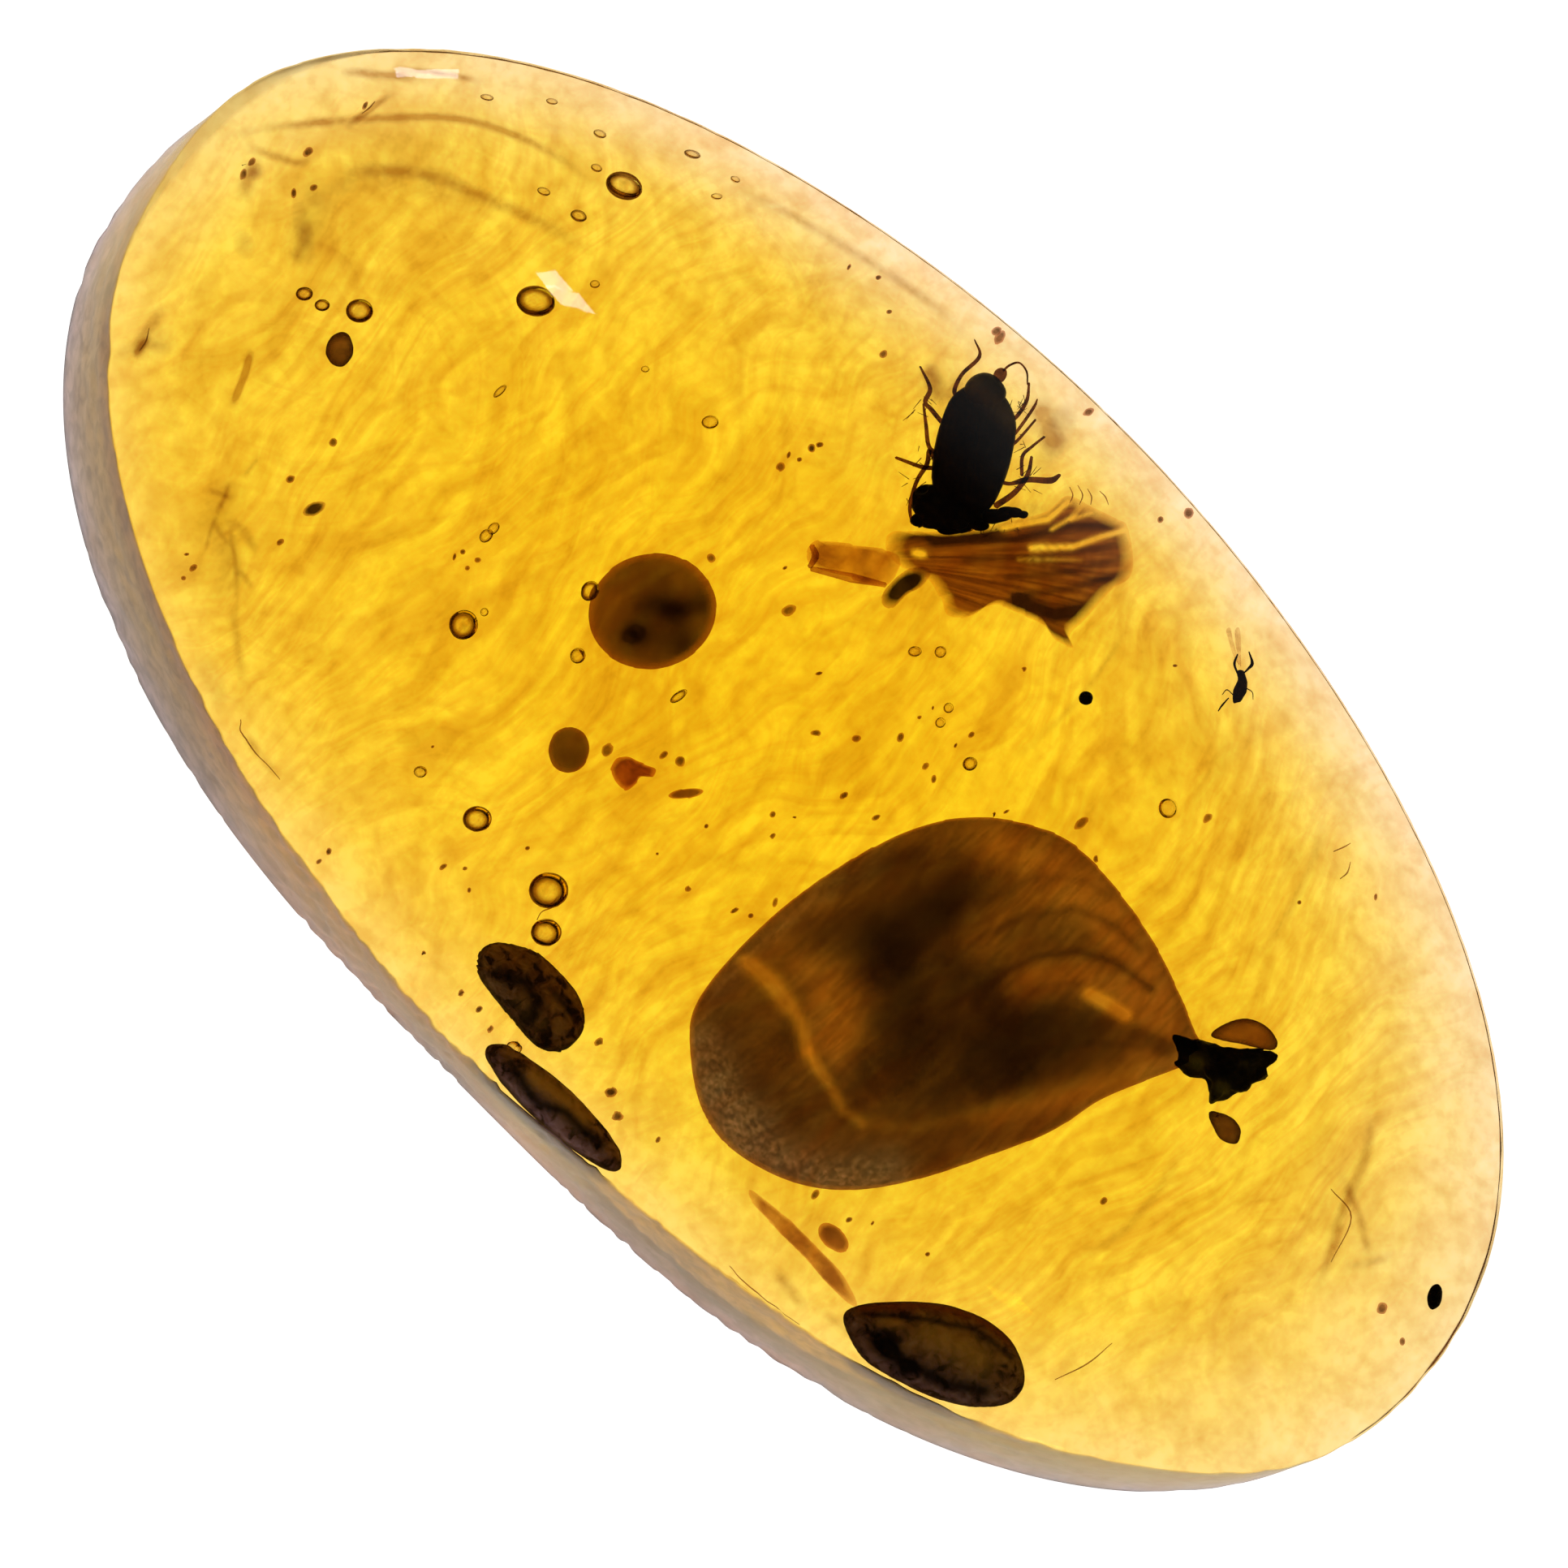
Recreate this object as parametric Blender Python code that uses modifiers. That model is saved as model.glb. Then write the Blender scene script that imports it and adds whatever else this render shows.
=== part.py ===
"""Insect in amber: a polished pebble of amber with a beetle and other things sealed inside.

The pebble lies on the flat middle of its back, with +Z up and +X along its length. It is parted on the level
where one flow of resin once covered another, which is where everything inside it lies. Each thing inside sits
in a pocket that opens on that level. Sizes are in millimetres, and MM turns them into Blender's metres.
"""

import math

import bmesh
import bpy
from mathutils import Matrix, Vector, noise

MM = 0.001

# The pebble: its outline is a rounded, slightly bean-shaped oval, steep along one side and thin on the other.
HALF_LENGTH = 14.72
HALF_WIDTH = 8.07
ROUNDNESS = 2.13
SHIFT, BLUNTNESS, BEND = -0.013, 0.016, -0.0165
HEIGHT = 5.6
DOME_POWER = 1.25
BACK_FLAT = 0.35
BACK_POWER = 1.4
BACK_CORNER_IN = 0.1
BACK_CORNER_UP = 0.12
OUTLINE_STEPS = 52
BACK_STEPS = (0.0, 0.35, 0.65, 0.9)
DOME_STEPS = (0.95, 0.85, 0.7, 0.5, 0.25, 0.0)

# The side: low and high edge where it is thin, and how much deeper it is where it is steep. It has two flanks,
# at these angles in degrees from the middle of the steep side, where it leans out further.
STEEP_SIDE = math.radians(-98)
DOME_FOOT = 2.3
STEEP_UP = 0.6
BACK_EDGE = 1.5
STEEP_DOWN = 1.0
LEFT_FLANK, RIGHT_FLANK, MIDDLE = 57, -58, -3
FLANK_SPREAD = 22
LEFT_FLANK_UP, LEFT_FLANK_DOWN, RIGHT_FLANK_UP = 0.4, 0.1, 0.1
LEAN, LEFT_LEAN, RIGHT_LEAN, MIDDLE_LEAN = 0.30, 0.28, 0.12, -0.30

# The seam: the level on which one flow of resin covered another.
SEAM_LEVEL = 1.9
SEAM_GAP = 0.05
ROOM = 0.06  # the least gap between a thing and its pocket


def near(theta, flank):
    """1 at a flank of the side, fading to 0 on both sides of it."""
    angle = math.degrees(math.remainder(STEEP_SIDE - theta, math.tau))
    return math.exp(-(((angle - flank) / FLANK_SPREAD) ** 2))


def soft_step(value):
    """0 up to 0, 1 from 1, and a soft change between."""
    value = min(max(value, 0.0), 1.0)
    return value * value * (3 - 2 * value)


def steepness(theta):
    """1 along the steep side and 0 along the thin side, with a long, soft change round the two ends."""
    return soft_step(0.5 + 0.7 * math.cos(STEEP_SIDE - theta))


def outline(theta):
    """How far the pebble reaches at this angle, seen from above."""
    across = (abs(math.cos(theta)) / HALF_LENGTH) ** ROUNDNESS
    across += (abs(math.sin(theta)) / HALF_WIDTH) ** ROUNDNESS
    bean = 1 + SHIFT * math.sin(theta) + BLUNTNESS * math.cos(2 * theta) + BEND * math.sin(3 * theta)
    return across ** (-1 / ROUNDNESS) * bean


def dome_foot(theta):
    """The height at which the dome meets the side."""
    flanks = LEFT_FLANK_UP * near(theta, LEFT_FLANK) + RIGHT_FLANK_UP * near(theta, RIGHT_FLANK)
    return DOME_FOOT + STEEP_UP * steepness(theta) + flanks


def back_edge(theta):
    """The height at which the rounded back meets the side."""
    return BACK_EDGE - STEEP_DOWN * steepness(theta) - LEFT_FLANK_DOWN * near(theta, LEFT_FLANK)


def lean(theta):
    """How far the side leans out from the dome's foot down to the back, on the steep half of the pebble."""
    out = LEAN + LEFT_LEAN * near(theta, LEFT_FLANK) + RIGHT_LEAN * near(theta, RIGHT_FLANK)
    out += MIDDLE_LEAN * near(theta, MIDDLE)
    return out * soft_step(4 * math.cos(STEEP_SIDE - theta))


def back_height(theta, part):
    """The height of the back, at this part of the way from its middle to its edge."""
    rise = max(part - BACK_FLAT, 0.0) / (1 - BACK_FLAT)
    return back_edge(theta) * rise**BACK_POWER


def dome_height(theta, part):
    """The height of the dome, at this part of the way from its top to its foot."""
    foot = dome_foot(theta)
    return foot + (HEIGHT - foot) * (1 - part * part) ** DOME_POWER


def skin(theta):
    """The pebble's surface at this angle, as (distance, height) from the middle of its back up to its top."""
    back = outline(theta)
    top = back - lean(theta)
    points = [(part * (back - BACK_CORNER_IN), back_height(theta, part)) for part in BACK_STEPS]
    points.append((back, back_edge(theta) + BACK_CORNER_UP))
    points.append((top, dome_foot(theta)))
    return points + [(part * top, dome_height(theta, part)) for part in DOME_STEPS]


# ---- making the pieces ----

OBJECT = "insect_in_amber"
AMBER_IOR = 1.54
FINISHES = {  # colour, roughness and how far light passes through
    "amber": ((1.0, 0.62, 0.1), 0.05, 1.0),
    "beetle_black": ((0.012, 0.008, 0.006), 0.3, 0.0),
    "midge_brown": ((0.05, 0.02, 0.008), 0.5, 0.0),
    "scrap_brown": ((0.22, 0.08, 0.02), 0.6, 0.0),
    "scrap_red": ((0.28, 0.05, 0.01), 0.6, 0.0),
    "charred_black": ((0.01, 0.009, 0.009), 0.25, 0.0),
    "crusted_brown": ((0.06, 0.035, 0.025), 0.6, 0.0),
    "pellet_brown": ((0.12, 0.04, 0.006), 0.4, 0.0),
    "drop_brown": ((0.2, 0.09, 0.015), 0.3, 0.6),
}


def clear_scene():
    for old in list(bpy.data.objects):
        bpy.data.objects.remove(old, do_unlink=True)


def collection(name):
    made = bpy.data.collections.new(name)
    bpy.context.scene.collection.children.link(made)
    return made


def material(name, finish):
    """A piece's own material, in one of the finishes."""
    colour, roughness, see_through = FINISHES[finish]
    made = bpy.data.materials.new(name)
    made.use_nodes = True
    shader = made.node_tree.nodes["Principled BSDF"]
    shader.inputs["Base Color"].default_value = (*colour, 1.0)
    shader.inputs["Roughness"].default_value = roughness
    shader.inputs["Metallic"].default_value = 0.0
    shader.inputs["Transmission Weight"].default_value = see_through
    shader.inputs["IOR"].default_value = AMBER_IOR
    return made


def add(name, bm, group, finish=None, at=(0.0, 0.0, 0.0), turn=0.0):
    """One object, from a bmesh drawn in millimetres about its own middle, put in its place and turned."""
    bmesh.ops.scale(bm, vec=(MM, MM, MM), verts=bm.verts)
    bmesh.ops.recalc_face_normals(bm, faces=bm.faces)
    mesh = bpy.data.meshes.new(name)
    bm.to_mesh(mesh)
    bm.free()
    if finish:
        mesh.materials.append(material(name, finish))
    mesh.shade_smooth()
    mesh.set_sharp_from_angle(angle=math.radians(50))
    made = bpy.data.objects.new(name, mesh)
    made.location = Vector(at) * MM
    made.rotation_euler.z = math.radians(turn)
    group.objects.link(made)
    return made


def hide(tool):
    """A tool cuts or joins another piece and is no piece itself."""
    tool.hide_render = True
    tool.display_type = "WIRE"
    return tool


def combine(piece, tool, operation):
    step = piece.modifiers.new(f"{operation.lower()} {tool.name}", "BOOLEAN")
    step.object = tool
    step.operation = operation
    step.solver = "EXACT"


def ball(half_sizes, across=16, along=8):
    """An ellipsoid about the origin, with its poles on the X axis."""
    bm = bmesh.new()
    bmesh.ops.create_uvsphere(bm, u_segments=across, v_segments=along, radius=1.0)
    bmesh.ops.rotate(bm, cent=(0, 0, 0), matrix=Matrix.Rotation(math.pi / 2, 3, "Y"), verts=bm.verts)
    bmesh.ops.scale(bm, vec=half_sizes, verts=bm.verts)
    return bm


CRUMB_ROUGHNESS = 0.22
CRUMB_LUMPS = 1.7  # how many lumps a crumb shows across its half size


def lump(half_sizes, seed):
    """An uneven crumb: a faceted ball whose corners are pushed in and out by a fixed noise."""
    bm = bmesh.new()
    bmesh.ops.create_icosphere(bm, subdivisions=2, radius=1.0)
    for corner in bm.verts:
        corner.co *= 1 + CRUMB_ROUGHNESS * noise.noise(corner.co * CRUMB_LUMPS + Vector((seed, 0, 0)))
    bmesh.ops.scale(bm, vec=half_sizes, verts=bm.verts)
    return bm


WIRE_TIP = 0.6  # a wire's thickness at its tip, as a part of its thickness at its root


def wire(name, points, thickness, group, place, rounding):
    """A leg or feeler: a wire through its joints, thinner at its tip, as a closed mesh in that frame."""
    line = bpy.data.curves.new(name, "CURVE")
    line.dimensions = "3D"
    line.bevel_depth = 0.5 * thickness * MM
    line.bevel_resolution = rounding
    line.use_fill_caps = True
    run = line.splines.new("POLY")
    run.points.add(len(points) - 1)
    for spot, (index, point) in zip(run.points, enumerate(points)):
        spot.co = (*(Vector(point) * MM), 1.0)
        spot.radius = 1 - (1 - WIRE_TIP) * index / (len(points) - 1)
    drawn = bpy.data.objects.new(name + "_line", line)
    bpy.context.scene.collection.objects.link(drawn)
    bpy.context.view_layer.update()
    mesh = bpy.data.meshes.new_from_object(drawn.evaluated_get(bpy.context.evaluated_depsgraph_get()))
    bpy.data.objects.remove(drawn, do_unlink=True)
    bm = bmesh.new()
    bm.from_mesh(mesh)
    bpy.data.meshes.remove(mesh)
    bmesh.ops.remove_doubles(bm, verts=bm.verts, dist=0.001 * MM)
    bmesh.ops.scale(bm, vec=(1 / MM, 1 / MM, 1 / MM), verts=bm.verts)
    made = add(name, bm, group)
    made.matrix_world = place
    return hide(made)


def pocket(name, room, group, at, turn=0.0):
    """The room in the amber that one thing fills."""
    hide(add("room_" + name, room, group, at=at, turn=turn))


# ---- the amber ----

CUT_OFF = (40, 24, 12)  # a block that takes away all of the pebble on one side of the seam


def pebble():
    """The whole pebble: a ball whose rings and columns of corners are moved to the pebble's skin."""
    rows = len(skin(0.0)) - 1
    bm = bmesh.new()
    bmesh.ops.create_uvsphere(bm, u_segments=OUTLINE_STEPS, v_segments=rows, radius=1.0)
    for corner in bm.verts:
        row = round(rows * math.acos(max(-1.0, min(1.0, -corner.co.z))) / math.pi)
        theta = math.atan2(corner.co.y, corner.co.x)
        reach, height = skin(theta)[row]
        corner.co = (reach * math.cos(theta), reach * math.sin(theta), height)
    return bm


def amber_half(name, group, tools, side, pockets):
    """The pebble on one side of the seam, less the pockets. Side is 1 above it and -1 below."""
    half = add(name, pebble(), group, "amber")
    block = bmesh.new()
    bmesh.ops.create_cube(block, size=1.0)
    bmesh.ops.scale(block, vec=CUT_OFF, verts=block.verts)
    middle = SEAM_LEVEL + side * (SEAM_GAP - CUT_OFF[2]) / 2
    combine(half, hide(add(name + "_cut_off", block, tools, at=(0, 0, middle))), "DIFFERENCE")
    rooms = half.modifiers.new("pockets", "BOOLEAN")
    rooms.operand_type = "COLLECTION"
    rooms.collection = pockets
    rooms.operation = "DIFFERENCE"
    rooms.solver = "EXACT"


# ---- the beetle and the midge ----

BEETLE_AT = (-1.65, 5.46, 1.95)
BEETLE_HEADING = 110
BEETLE_BODY = {  # (half length, half width, half height), the middle, in the beetle's frame: forward, left, up
    "wing_cases": ((1.12, 0.64, 0.42), (-0.45, 0, 0.02)),
    "chest": ((0.42, 0.52, 0.33), (0.75, 0, 0)),
    "head": ((0.32, 0.3, 0.22), (1.25, 0, -0.03)),
    "jaws": ((0.14, 0.12, 0.09), (1.53, 0, -0.06)),
}
BEETLE_LIMBS = {  # thickness, then its joints from the body out, in the beetle's frame
    "left_fore_leg": (0.09, ((0.7, 0.3, -0.15), (0.95, 0.62, 0), (1.7, 0.49, -0.05), (1.94, 0.62, -0.12))),
    "left_mid_leg": (0.08, ((-0.2, 0.4, -0.15), (-0.31, 0.74, 0), (0.05, 0.95, 0.02), (0.79, 1.24, -0.1))),
    "left_hind_leg": (0.08, ((-0.65, 0.35, -0.15), (-0.73, 0.68, 0), (-1.36, 0.66, 0), (-1.75, 0.5, -0.1))),
    "left_hind_foot": (0.07, ((-0.7, 0.4, -0.15), (-0.8, 0.7, -0.1), (-0.88, 1.1, -0.12))),
    "right_fore_leg": (0.08, ((0.75, -0.3, -0.15), (0.96, -0.6, 0), (1.3, -0.62, 0.02), (1.61, -0.55, -0.1))),
    "right_fore_foot": (0.06, ((0.6, -0.3, -0.12), (0.85, -0.66, -0.12), (1.25, -0.82, -0.15))),
    "right_mid_leg": (0.08, ((0, -0.45, -0.15), (-0.04, -0.94, 0), (0.25, -0.88, 0.02), (0.79, -1.09, -0.1))),
    "right_hind_leg": (0.09, ((-0.7, -0.4, -0.15), (-0.81, -0.78, 0), (-0.13, -1.03, 0.02), (0.15, -1.03, 0))),
    "right_hind_foot": (0.08, ((-0.2, -0.98, 0.02), (-0.08, -1.12, 0), (0.1, -1.49, -0.1))),
    "left_feeler": (0.05, ((1.35, 0.1, 0), (1.72, 0.24, 0.06), (1.95, 0.1, 0.05))),
    "right_feeler": (0.05, ((1.35, -0.1, 0), (1.6, -0.42, 0.06), (1.4, -0.66, 0.05))),
}

MIDGE_AT = (4.38, 5.9, 1.9)
MIDGE_HEADING = -58
MIDGE_BODY = {
    "chest": ((0.14, 0.1, 0.1), (0.02, 0, 0)),
    "head": ((0.09, 0.08, 0.08), (0.2, 0, -0.01)),
    "belly": ((0.22, 0.07, 0.07), (-0.24, 0, -0.02)),
}
MIDGE_LIMBS = {
    "left_wing": (0.16, ((0, 0.04, 0.08), (-0.35, 0.16, 0.12), (-0.72, 0.2, 0.1))),
    "right_wing": (0.16, ((0, -0.04, 0.08), (-0.35, -0.2, 0.12), (-0.7, -0.32, 0.1))),
    "left_fore_leg": (0.03, ((0.1, 0.05, -0.05), (0.25, 0.22, -0.04), (0.55, 0.12, -0.08))),
    "right_fore_leg": (0.03, ((0.1, -0.05, -0.05), (0.3, -0.18, -0.04), (0.42, -0.4, -0.08))),
    "left_hind_leg": (0.03, ((-0.05, 0.05, -0.05), (-0.2, 0.26, -0.04), (-0.5, 0.3, -0.08))),
    "right_hind_leg": (0.03, ((-0.05, -0.05, -0.05), (-0.12, -0.28, -0.04), (-0.4, -0.44, -0.08))),
    "feeler": (0.025, ((0.24, 0, 0), (0.45, -0.1, 0.02), (0.66, -0.2, 0))),
}
WING_FLATNESS = 0.22
WING_RISE = 0.05


def creature(name, body_parts, limbs, place, finish, group, tools, across, along, rounding):
    """An insect: the ellipsoids of its body joined to one another and to its limbs, as one closed solid."""
    body = None
    for part_name, (half_sizes, middle) in body_parts.items():
        shape = ball(half_sizes, across, along)
        bmesh.ops.translate(shape, vec=middle, verts=shape.verts)
        if body is None:
            body = add(name, shape, group, finish)
            body.matrix_world = place
        else:
            part = hide(add(f"{name}_{part_name}", shape, tools))
            part.matrix_world = place
            combine(body, part, "UNION")
    for limb_name, (thickness, joints) in limbs.items():
        limb = wire(f"{name}_{limb_name}", joints, thickness, tools, place, rounding)
        if "wing" in limb_name:  # a wing is its wire pressed flat
            press = Matrix.Translation((0, 0, WING_RISE * MM)) @ Matrix.Diagonal((1, 1, WING_FLATNESS, 1))
            limb.matrix_world = place @ press
        combine(body, limb, "UNION")


def placed(at, heading):
    return Matrix.Translation(Vector(at) * MM) @ Matrix.Rotation(math.radians(heading), 4, "Z")


def beetle(group, tools, pockets):
    place = placed(BEETLE_AT, BEETLE_HEADING)
    creature("beetle", BEETLE_BODY, BEETLE_LIMBS, place, "beetle_black", group, tools, 14, 8, 1)
    pocket("beetle", ball((2.15, 1.75, 0.6)), pockets, (-1.62, 5.46, SEAM_LEVEL), BEETLE_HEADING)


def midge(group, tools, pockets):
    place = placed(MIDGE_AT, MIDGE_HEADING)
    creature("midge", MIDGE_BODY, MIDGE_LIMBS, place, "midge_brown", group, tools, 10, 6, 0)
    pocket("midge", ball((0.98, 0.64, 0.36), 12, 6), pockets, (4.33, 5.98, SEAM_LEVEL), MIDGE_HEADING)


# ---- plant scraps ----

FAN_AT = (-1.48, 3.24, 1.9)
FAN_MIDDLE_ANGLE = 27
FAN_HALF_ANGLE = 34
FAN_REACH = 4.0
FAN_LONGEST_SIDE = 0.35  # where across the fan it reaches furthest, from -1 to 1
FAN_SHORTENING = 0.34  # how much of its reach it loses a whole half-width away from there
FAN_NECK = 0.3
FAN_THICKNESS = 0.07
FAN_PLEATS = 5
PLEAT_DEPTH = 0.11
STRIP_AT = (-1.86, 2.34, 1.9)
STRIP_TURN = 30.6
STRIP_SIZE = (1.2, 0.42, 0.12)
STRIP_EDGE = 0.03


def pleated_scrap(group, pockets):
    """A torn, pleated scrap that opens like a fan from its left end."""
    bm = bmesh.new()
    bmesh.ops.create_grid(bm, x_segments=20, y_segments=4, size=1.0)
    for corner in bm.verts:
        side, out = corner.co.x, 0.5 + 0.5 * corner.co.y
        angle = math.radians(FAN_MIDDLE_ANGLE + FAN_HALF_ANGLE * side)
        reach = FAN_REACH * (1 - FAN_SHORTENING * (side - FAN_LONGEST_SIDE) ** 2)
        far = FAN_NECK + (reach - FAN_NECK) * out
        fold = PLEAT_DEPTH * math.sin(FAN_PLEATS * math.pi * side) * min(1.0, 1.6 * out)
        corner.co = (far * math.cos(angle), far * math.sin(angle), fold)
    scrap = add("pleated_scrap", bm, group, "scrap_brown", FAN_AT)
    shell = scrap.modifiers.new("thickness", "SOLIDIFY")
    shell.thickness = FAN_THICKNESS * MM
    shell.offset = 0.0
    pocket("pleated_scrap", ball((2.6, 1.95, 0.45)), pockets, (0.3, 4.7, SEAM_LEVEL), 42)


def strip_scrap(group, pockets):
    bm = bmesh.new()
    bmesh.ops.create_cube(bm, size=1.0)
    bmesh.ops.scale(bm, vec=STRIP_SIZE, verts=bm.verts)
    strip = add("strip_scrap", bm, group, "scrap_brown", STRIP_AT, STRIP_TURN)
    edge = strip.modifiers.new("soft edges", "BEVEL")
    edge.width = STRIP_EDGE * MM
    edge.segments = 1
    pocket("strip_scrap", ball((0.98, 0.46, 0.26), 12, 6), pockets, STRIP_AT, STRIP_TURN)


# ---- the drop ----

DROP_AT = (4.91, -1.77, 1.95)
DROP_TURN = 42.5
DROP_HALF_LENGTH = 4.08
DROP_HALF_HEIGHT = 0.95
DROP_FULL_SIDE = 3.65  # half width on its full side, widest at this part of the way to its tip
DROP_FULLEST_AT = 0.3
DROP_SLIM_SIDE = 2.2  # half width on its other side, at its middle, and how much it loses toward the tip
DROP_SLIMMING = 1.15
DROP_TIP_STARTS = 0.7


def drop(across, along, grow=0.0):
    """A drop with its tip on +X, fuller on its +Y side. Grow makes it bigger all round, for its pocket."""
    bm = ball((1.0, 1.0, 1.0), across, along)
    for corner in bm.verts:
        on, aside, up = corner.co
        round_about = math.hypot(aside, up)
        toward_full = 0.5 + 0.5 * aside / round_about if round_about > 1e-6 else 0.5
        full = DROP_FULL_SIDE * (1 - 0.35 * (on - DROP_FULLEST_AT) ** 2)
        slim = DROP_SLIM_SIDE - DROP_SLIMMING * on
        tip = 1 - 0.35 * (max(on - DROP_TIP_STARTS, 0.0) / (1 - DROP_TIP_STARTS)) ** 2
        width = (slim + (full - slim) * toward_full) * tip
        height = DROP_HALF_HEIGHT * (1 - 0.3 * on) * tip
        corner.co = (on * DROP_HALF_LENGTH, aside * width, up * height)
    bigger = (1 + grow / half for half in (DROP_HALF_LENGTH, DROP_SLIM_SIDE, DROP_HALF_HEIGHT))
    bmesh.ops.scale(bm, vec=tuple(bigger), verts=bm.verts)
    return bm


def resin_drop(group, pockets):
    add("resin_drop", drop(20, 12), group, "drop_brown", DROP_AT, DROP_TURN)
    pocket("resin_drop", drop(16, 10, grow=2 * ROOM), pockets, DROP_AT, DROP_TURN)


# ---- small and middling things, each an ellipsoid or a crumb ----

ROUND_THINGS = {  # half sizes, the middle, the turn about Z, and the finish
    "round_pellet": ((1.0, 0.86, 0.5), (-3.45, -0.21, 1.9), 41.6, "pellet_brown"),
    "small_pellet": ((0.35, 0.34, 0.26), (-2.87, -2.57, 1.9), 0, "pellet_brown"),
    "dark_oval_1": ((1.0, 0.64, 0.42), (-0.39, -6.05, 1.9), 0, "crusted_brown"),
    "dark_oval_2": ((1.55, 0.42, 0.5), (1.2, -7.12, 1.85), 2, "crusted_brown"),
    "dark_oval_3": ((1.58, 0.86, 0.5), (8.65, -5.5, 1.9), 27.8, "crusted_brown"),
    "long_sliver": ((1.2, 0.11, 0.06), (5.9, -5.75, 1.9), -8, "scrap_brown"),
    "short_sliver": ((0.27, 0.08, 0.06), (-0.95, -1.76, 1.9), 43, "scrap_brown"),
}
CRUMBS = {  # half sizes, the middle, the turn about Z, the finish, and the noise's seed
    "dark_crumb": ((0.36, 0.26, 0.2), (-0.84, 2.68, 1.9), 85, "charred_black", 3.0),
    "red_crumb": ((0.24, 0.17, 0.12), (-1.97, -2.15, 1.9), 10, "scrap_red", 5.0),
    "grey_crumb": ((0.26, 0.17, 0.12), (6.05, -5.2, 1.9), -10, "crusted_brown", 8.0),
    "black_lump": ((0.68, 0.4, 0.34), (8.66, 1.33, 1.95), 33, "charred_black", 11.0),
    "tip_grain": ((0.26, 0.2, 0.16), (9.27, 0.5, 1.9), 60, "crusted_brown", 14.0),
    "brown_grain": ((0.27, 0.21, 0.17), (-10.28, -0.8, 1.9), 50, "crusted_brown", 17.0),
    "black_grain": ((0.13, 0.12, 0.1), (2.62, 3.62, 1.9), 0, "charred_black", 20.0),
    "long_grain": ((0.2, 0.11, 0.09), (-8.72, -2.91, 1.9), 45, "charred_black", 23.0),
    "rim_grain": ((0.21, 0.12, 0.1), (14.0, 1.14, 1.9), 115, "charred_black", 26.0),
}
GAS_DOME = (0.56, 0.42, 0.34)
GAS_DOME_AT = (8.42, 1.84, 1.9)
GAS_DOME_TURN = 33


def grown(half_sizes, by=2 * ROOM):
    return tuple(half + by for half in half_sizes)


def gas_dome(group, pockets):
    """Half an ellipsoid: the side toward -Y is cut off flat."""
    bm = ball(GAS_DOME)
    everything = bm.verts[:] + bm.edges[:] + bm.faces[:]
    cut = bmesh.ops.bisect_plane(bm, geom=everything, plane_no=(0, -1, 0), clear_outer=True)
    rim = [part for part in cut["geom_cut"] if isinstance(part, bmesh.types.BMEdge)]
    bmesh.ops.contextual_create(bm, geom=rim)
    add("gas_dome", bm, group, "pellet_brown", GAS_DOME_AT, GAS_DOME_TURN)
    pocket("gas_dome", ball(grown(GAS_DOME), 12, 6), pockets, GAS_DOME_AT, GAS_DOME_TURN)


def small_things(group, pockets):
    for name, (half_sizes, middle, turn, finish) in ROUND_THINGS.items():
        large = min(half_sizes) > 0.4
        shape = ball(half_sizes) if large else ball(half_sizes, 10, 6)
        add(name, shape, group, finish, middle, turn)
        pocket(name, ball(grown(half_sizes), 12, 6), pockets, middle, turn)
    for name, (half_sizes, middle, turn, finish, seed) in CRUMBS.items():
        add(name, lump(half_sizes, seed), group, finish, middle, turn)
        pocket(name, ball(grown(half_sizes), 8, 6), pockets, middle, turn)


def main():
    clear_scene()
    pieces, tools, pockets = collection(OBJECT), collection("tools"), collection("pockets")
    beetle(pieces, tools, pockets)
    midge(pieces, tools, pockets)
    pleated_scrap(pieces, pockets)
    strip_scrap(pieces, pockets)
    resin_drop(pieces, pockets)
    gas_dome(pieces, pockets)
    small_things(pieces, pockets)
    amber_half("amber_lower", pieces, tools, -1, pockets)
    amber_half("amber_upper", pieces, tools, 1, pockets)


main()
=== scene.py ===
# %% [markdown]
# # Insect in amber
# A pebble of amber lies on a light table. A beetle, a midge, a drop of darker resin and many grains and
# bubbles are sealed in it. The solids of the part are loaded first, as a fixed frame. Everything made here
# has to stay where they are and inside their size.

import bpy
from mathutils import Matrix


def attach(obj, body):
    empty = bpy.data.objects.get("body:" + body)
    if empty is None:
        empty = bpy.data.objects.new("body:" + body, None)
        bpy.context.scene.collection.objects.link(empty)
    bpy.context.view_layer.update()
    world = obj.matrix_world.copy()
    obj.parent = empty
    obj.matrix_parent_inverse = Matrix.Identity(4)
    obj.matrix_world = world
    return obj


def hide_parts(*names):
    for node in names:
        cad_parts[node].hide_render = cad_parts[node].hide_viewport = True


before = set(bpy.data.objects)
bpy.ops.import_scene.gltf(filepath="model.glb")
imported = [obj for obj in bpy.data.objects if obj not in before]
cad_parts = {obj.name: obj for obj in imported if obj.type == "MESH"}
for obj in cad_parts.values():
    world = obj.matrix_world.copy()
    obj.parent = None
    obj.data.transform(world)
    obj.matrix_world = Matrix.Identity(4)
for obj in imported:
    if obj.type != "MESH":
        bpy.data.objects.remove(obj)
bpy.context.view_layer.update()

# %% Blender's modules, and the unit
import math
import random

import bmesh
import bpy
import numpy
from mathutils import Matrix, Vector, bvhtree, noise

MM = 0.001
BODY = "root"
chance = random.Random(41)

# %% [markdown]
# ## The camera
# The pebble is looked at from almost straight above, with its length running from the upper left to the lower
# right. A long lens far away keeps its sides from spreading. The camera is made first, because later cells ask
# what it sees: its frame is thought of as a sheet 1932 points wide, and small things are placed by the point
# at which they are seen.

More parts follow.
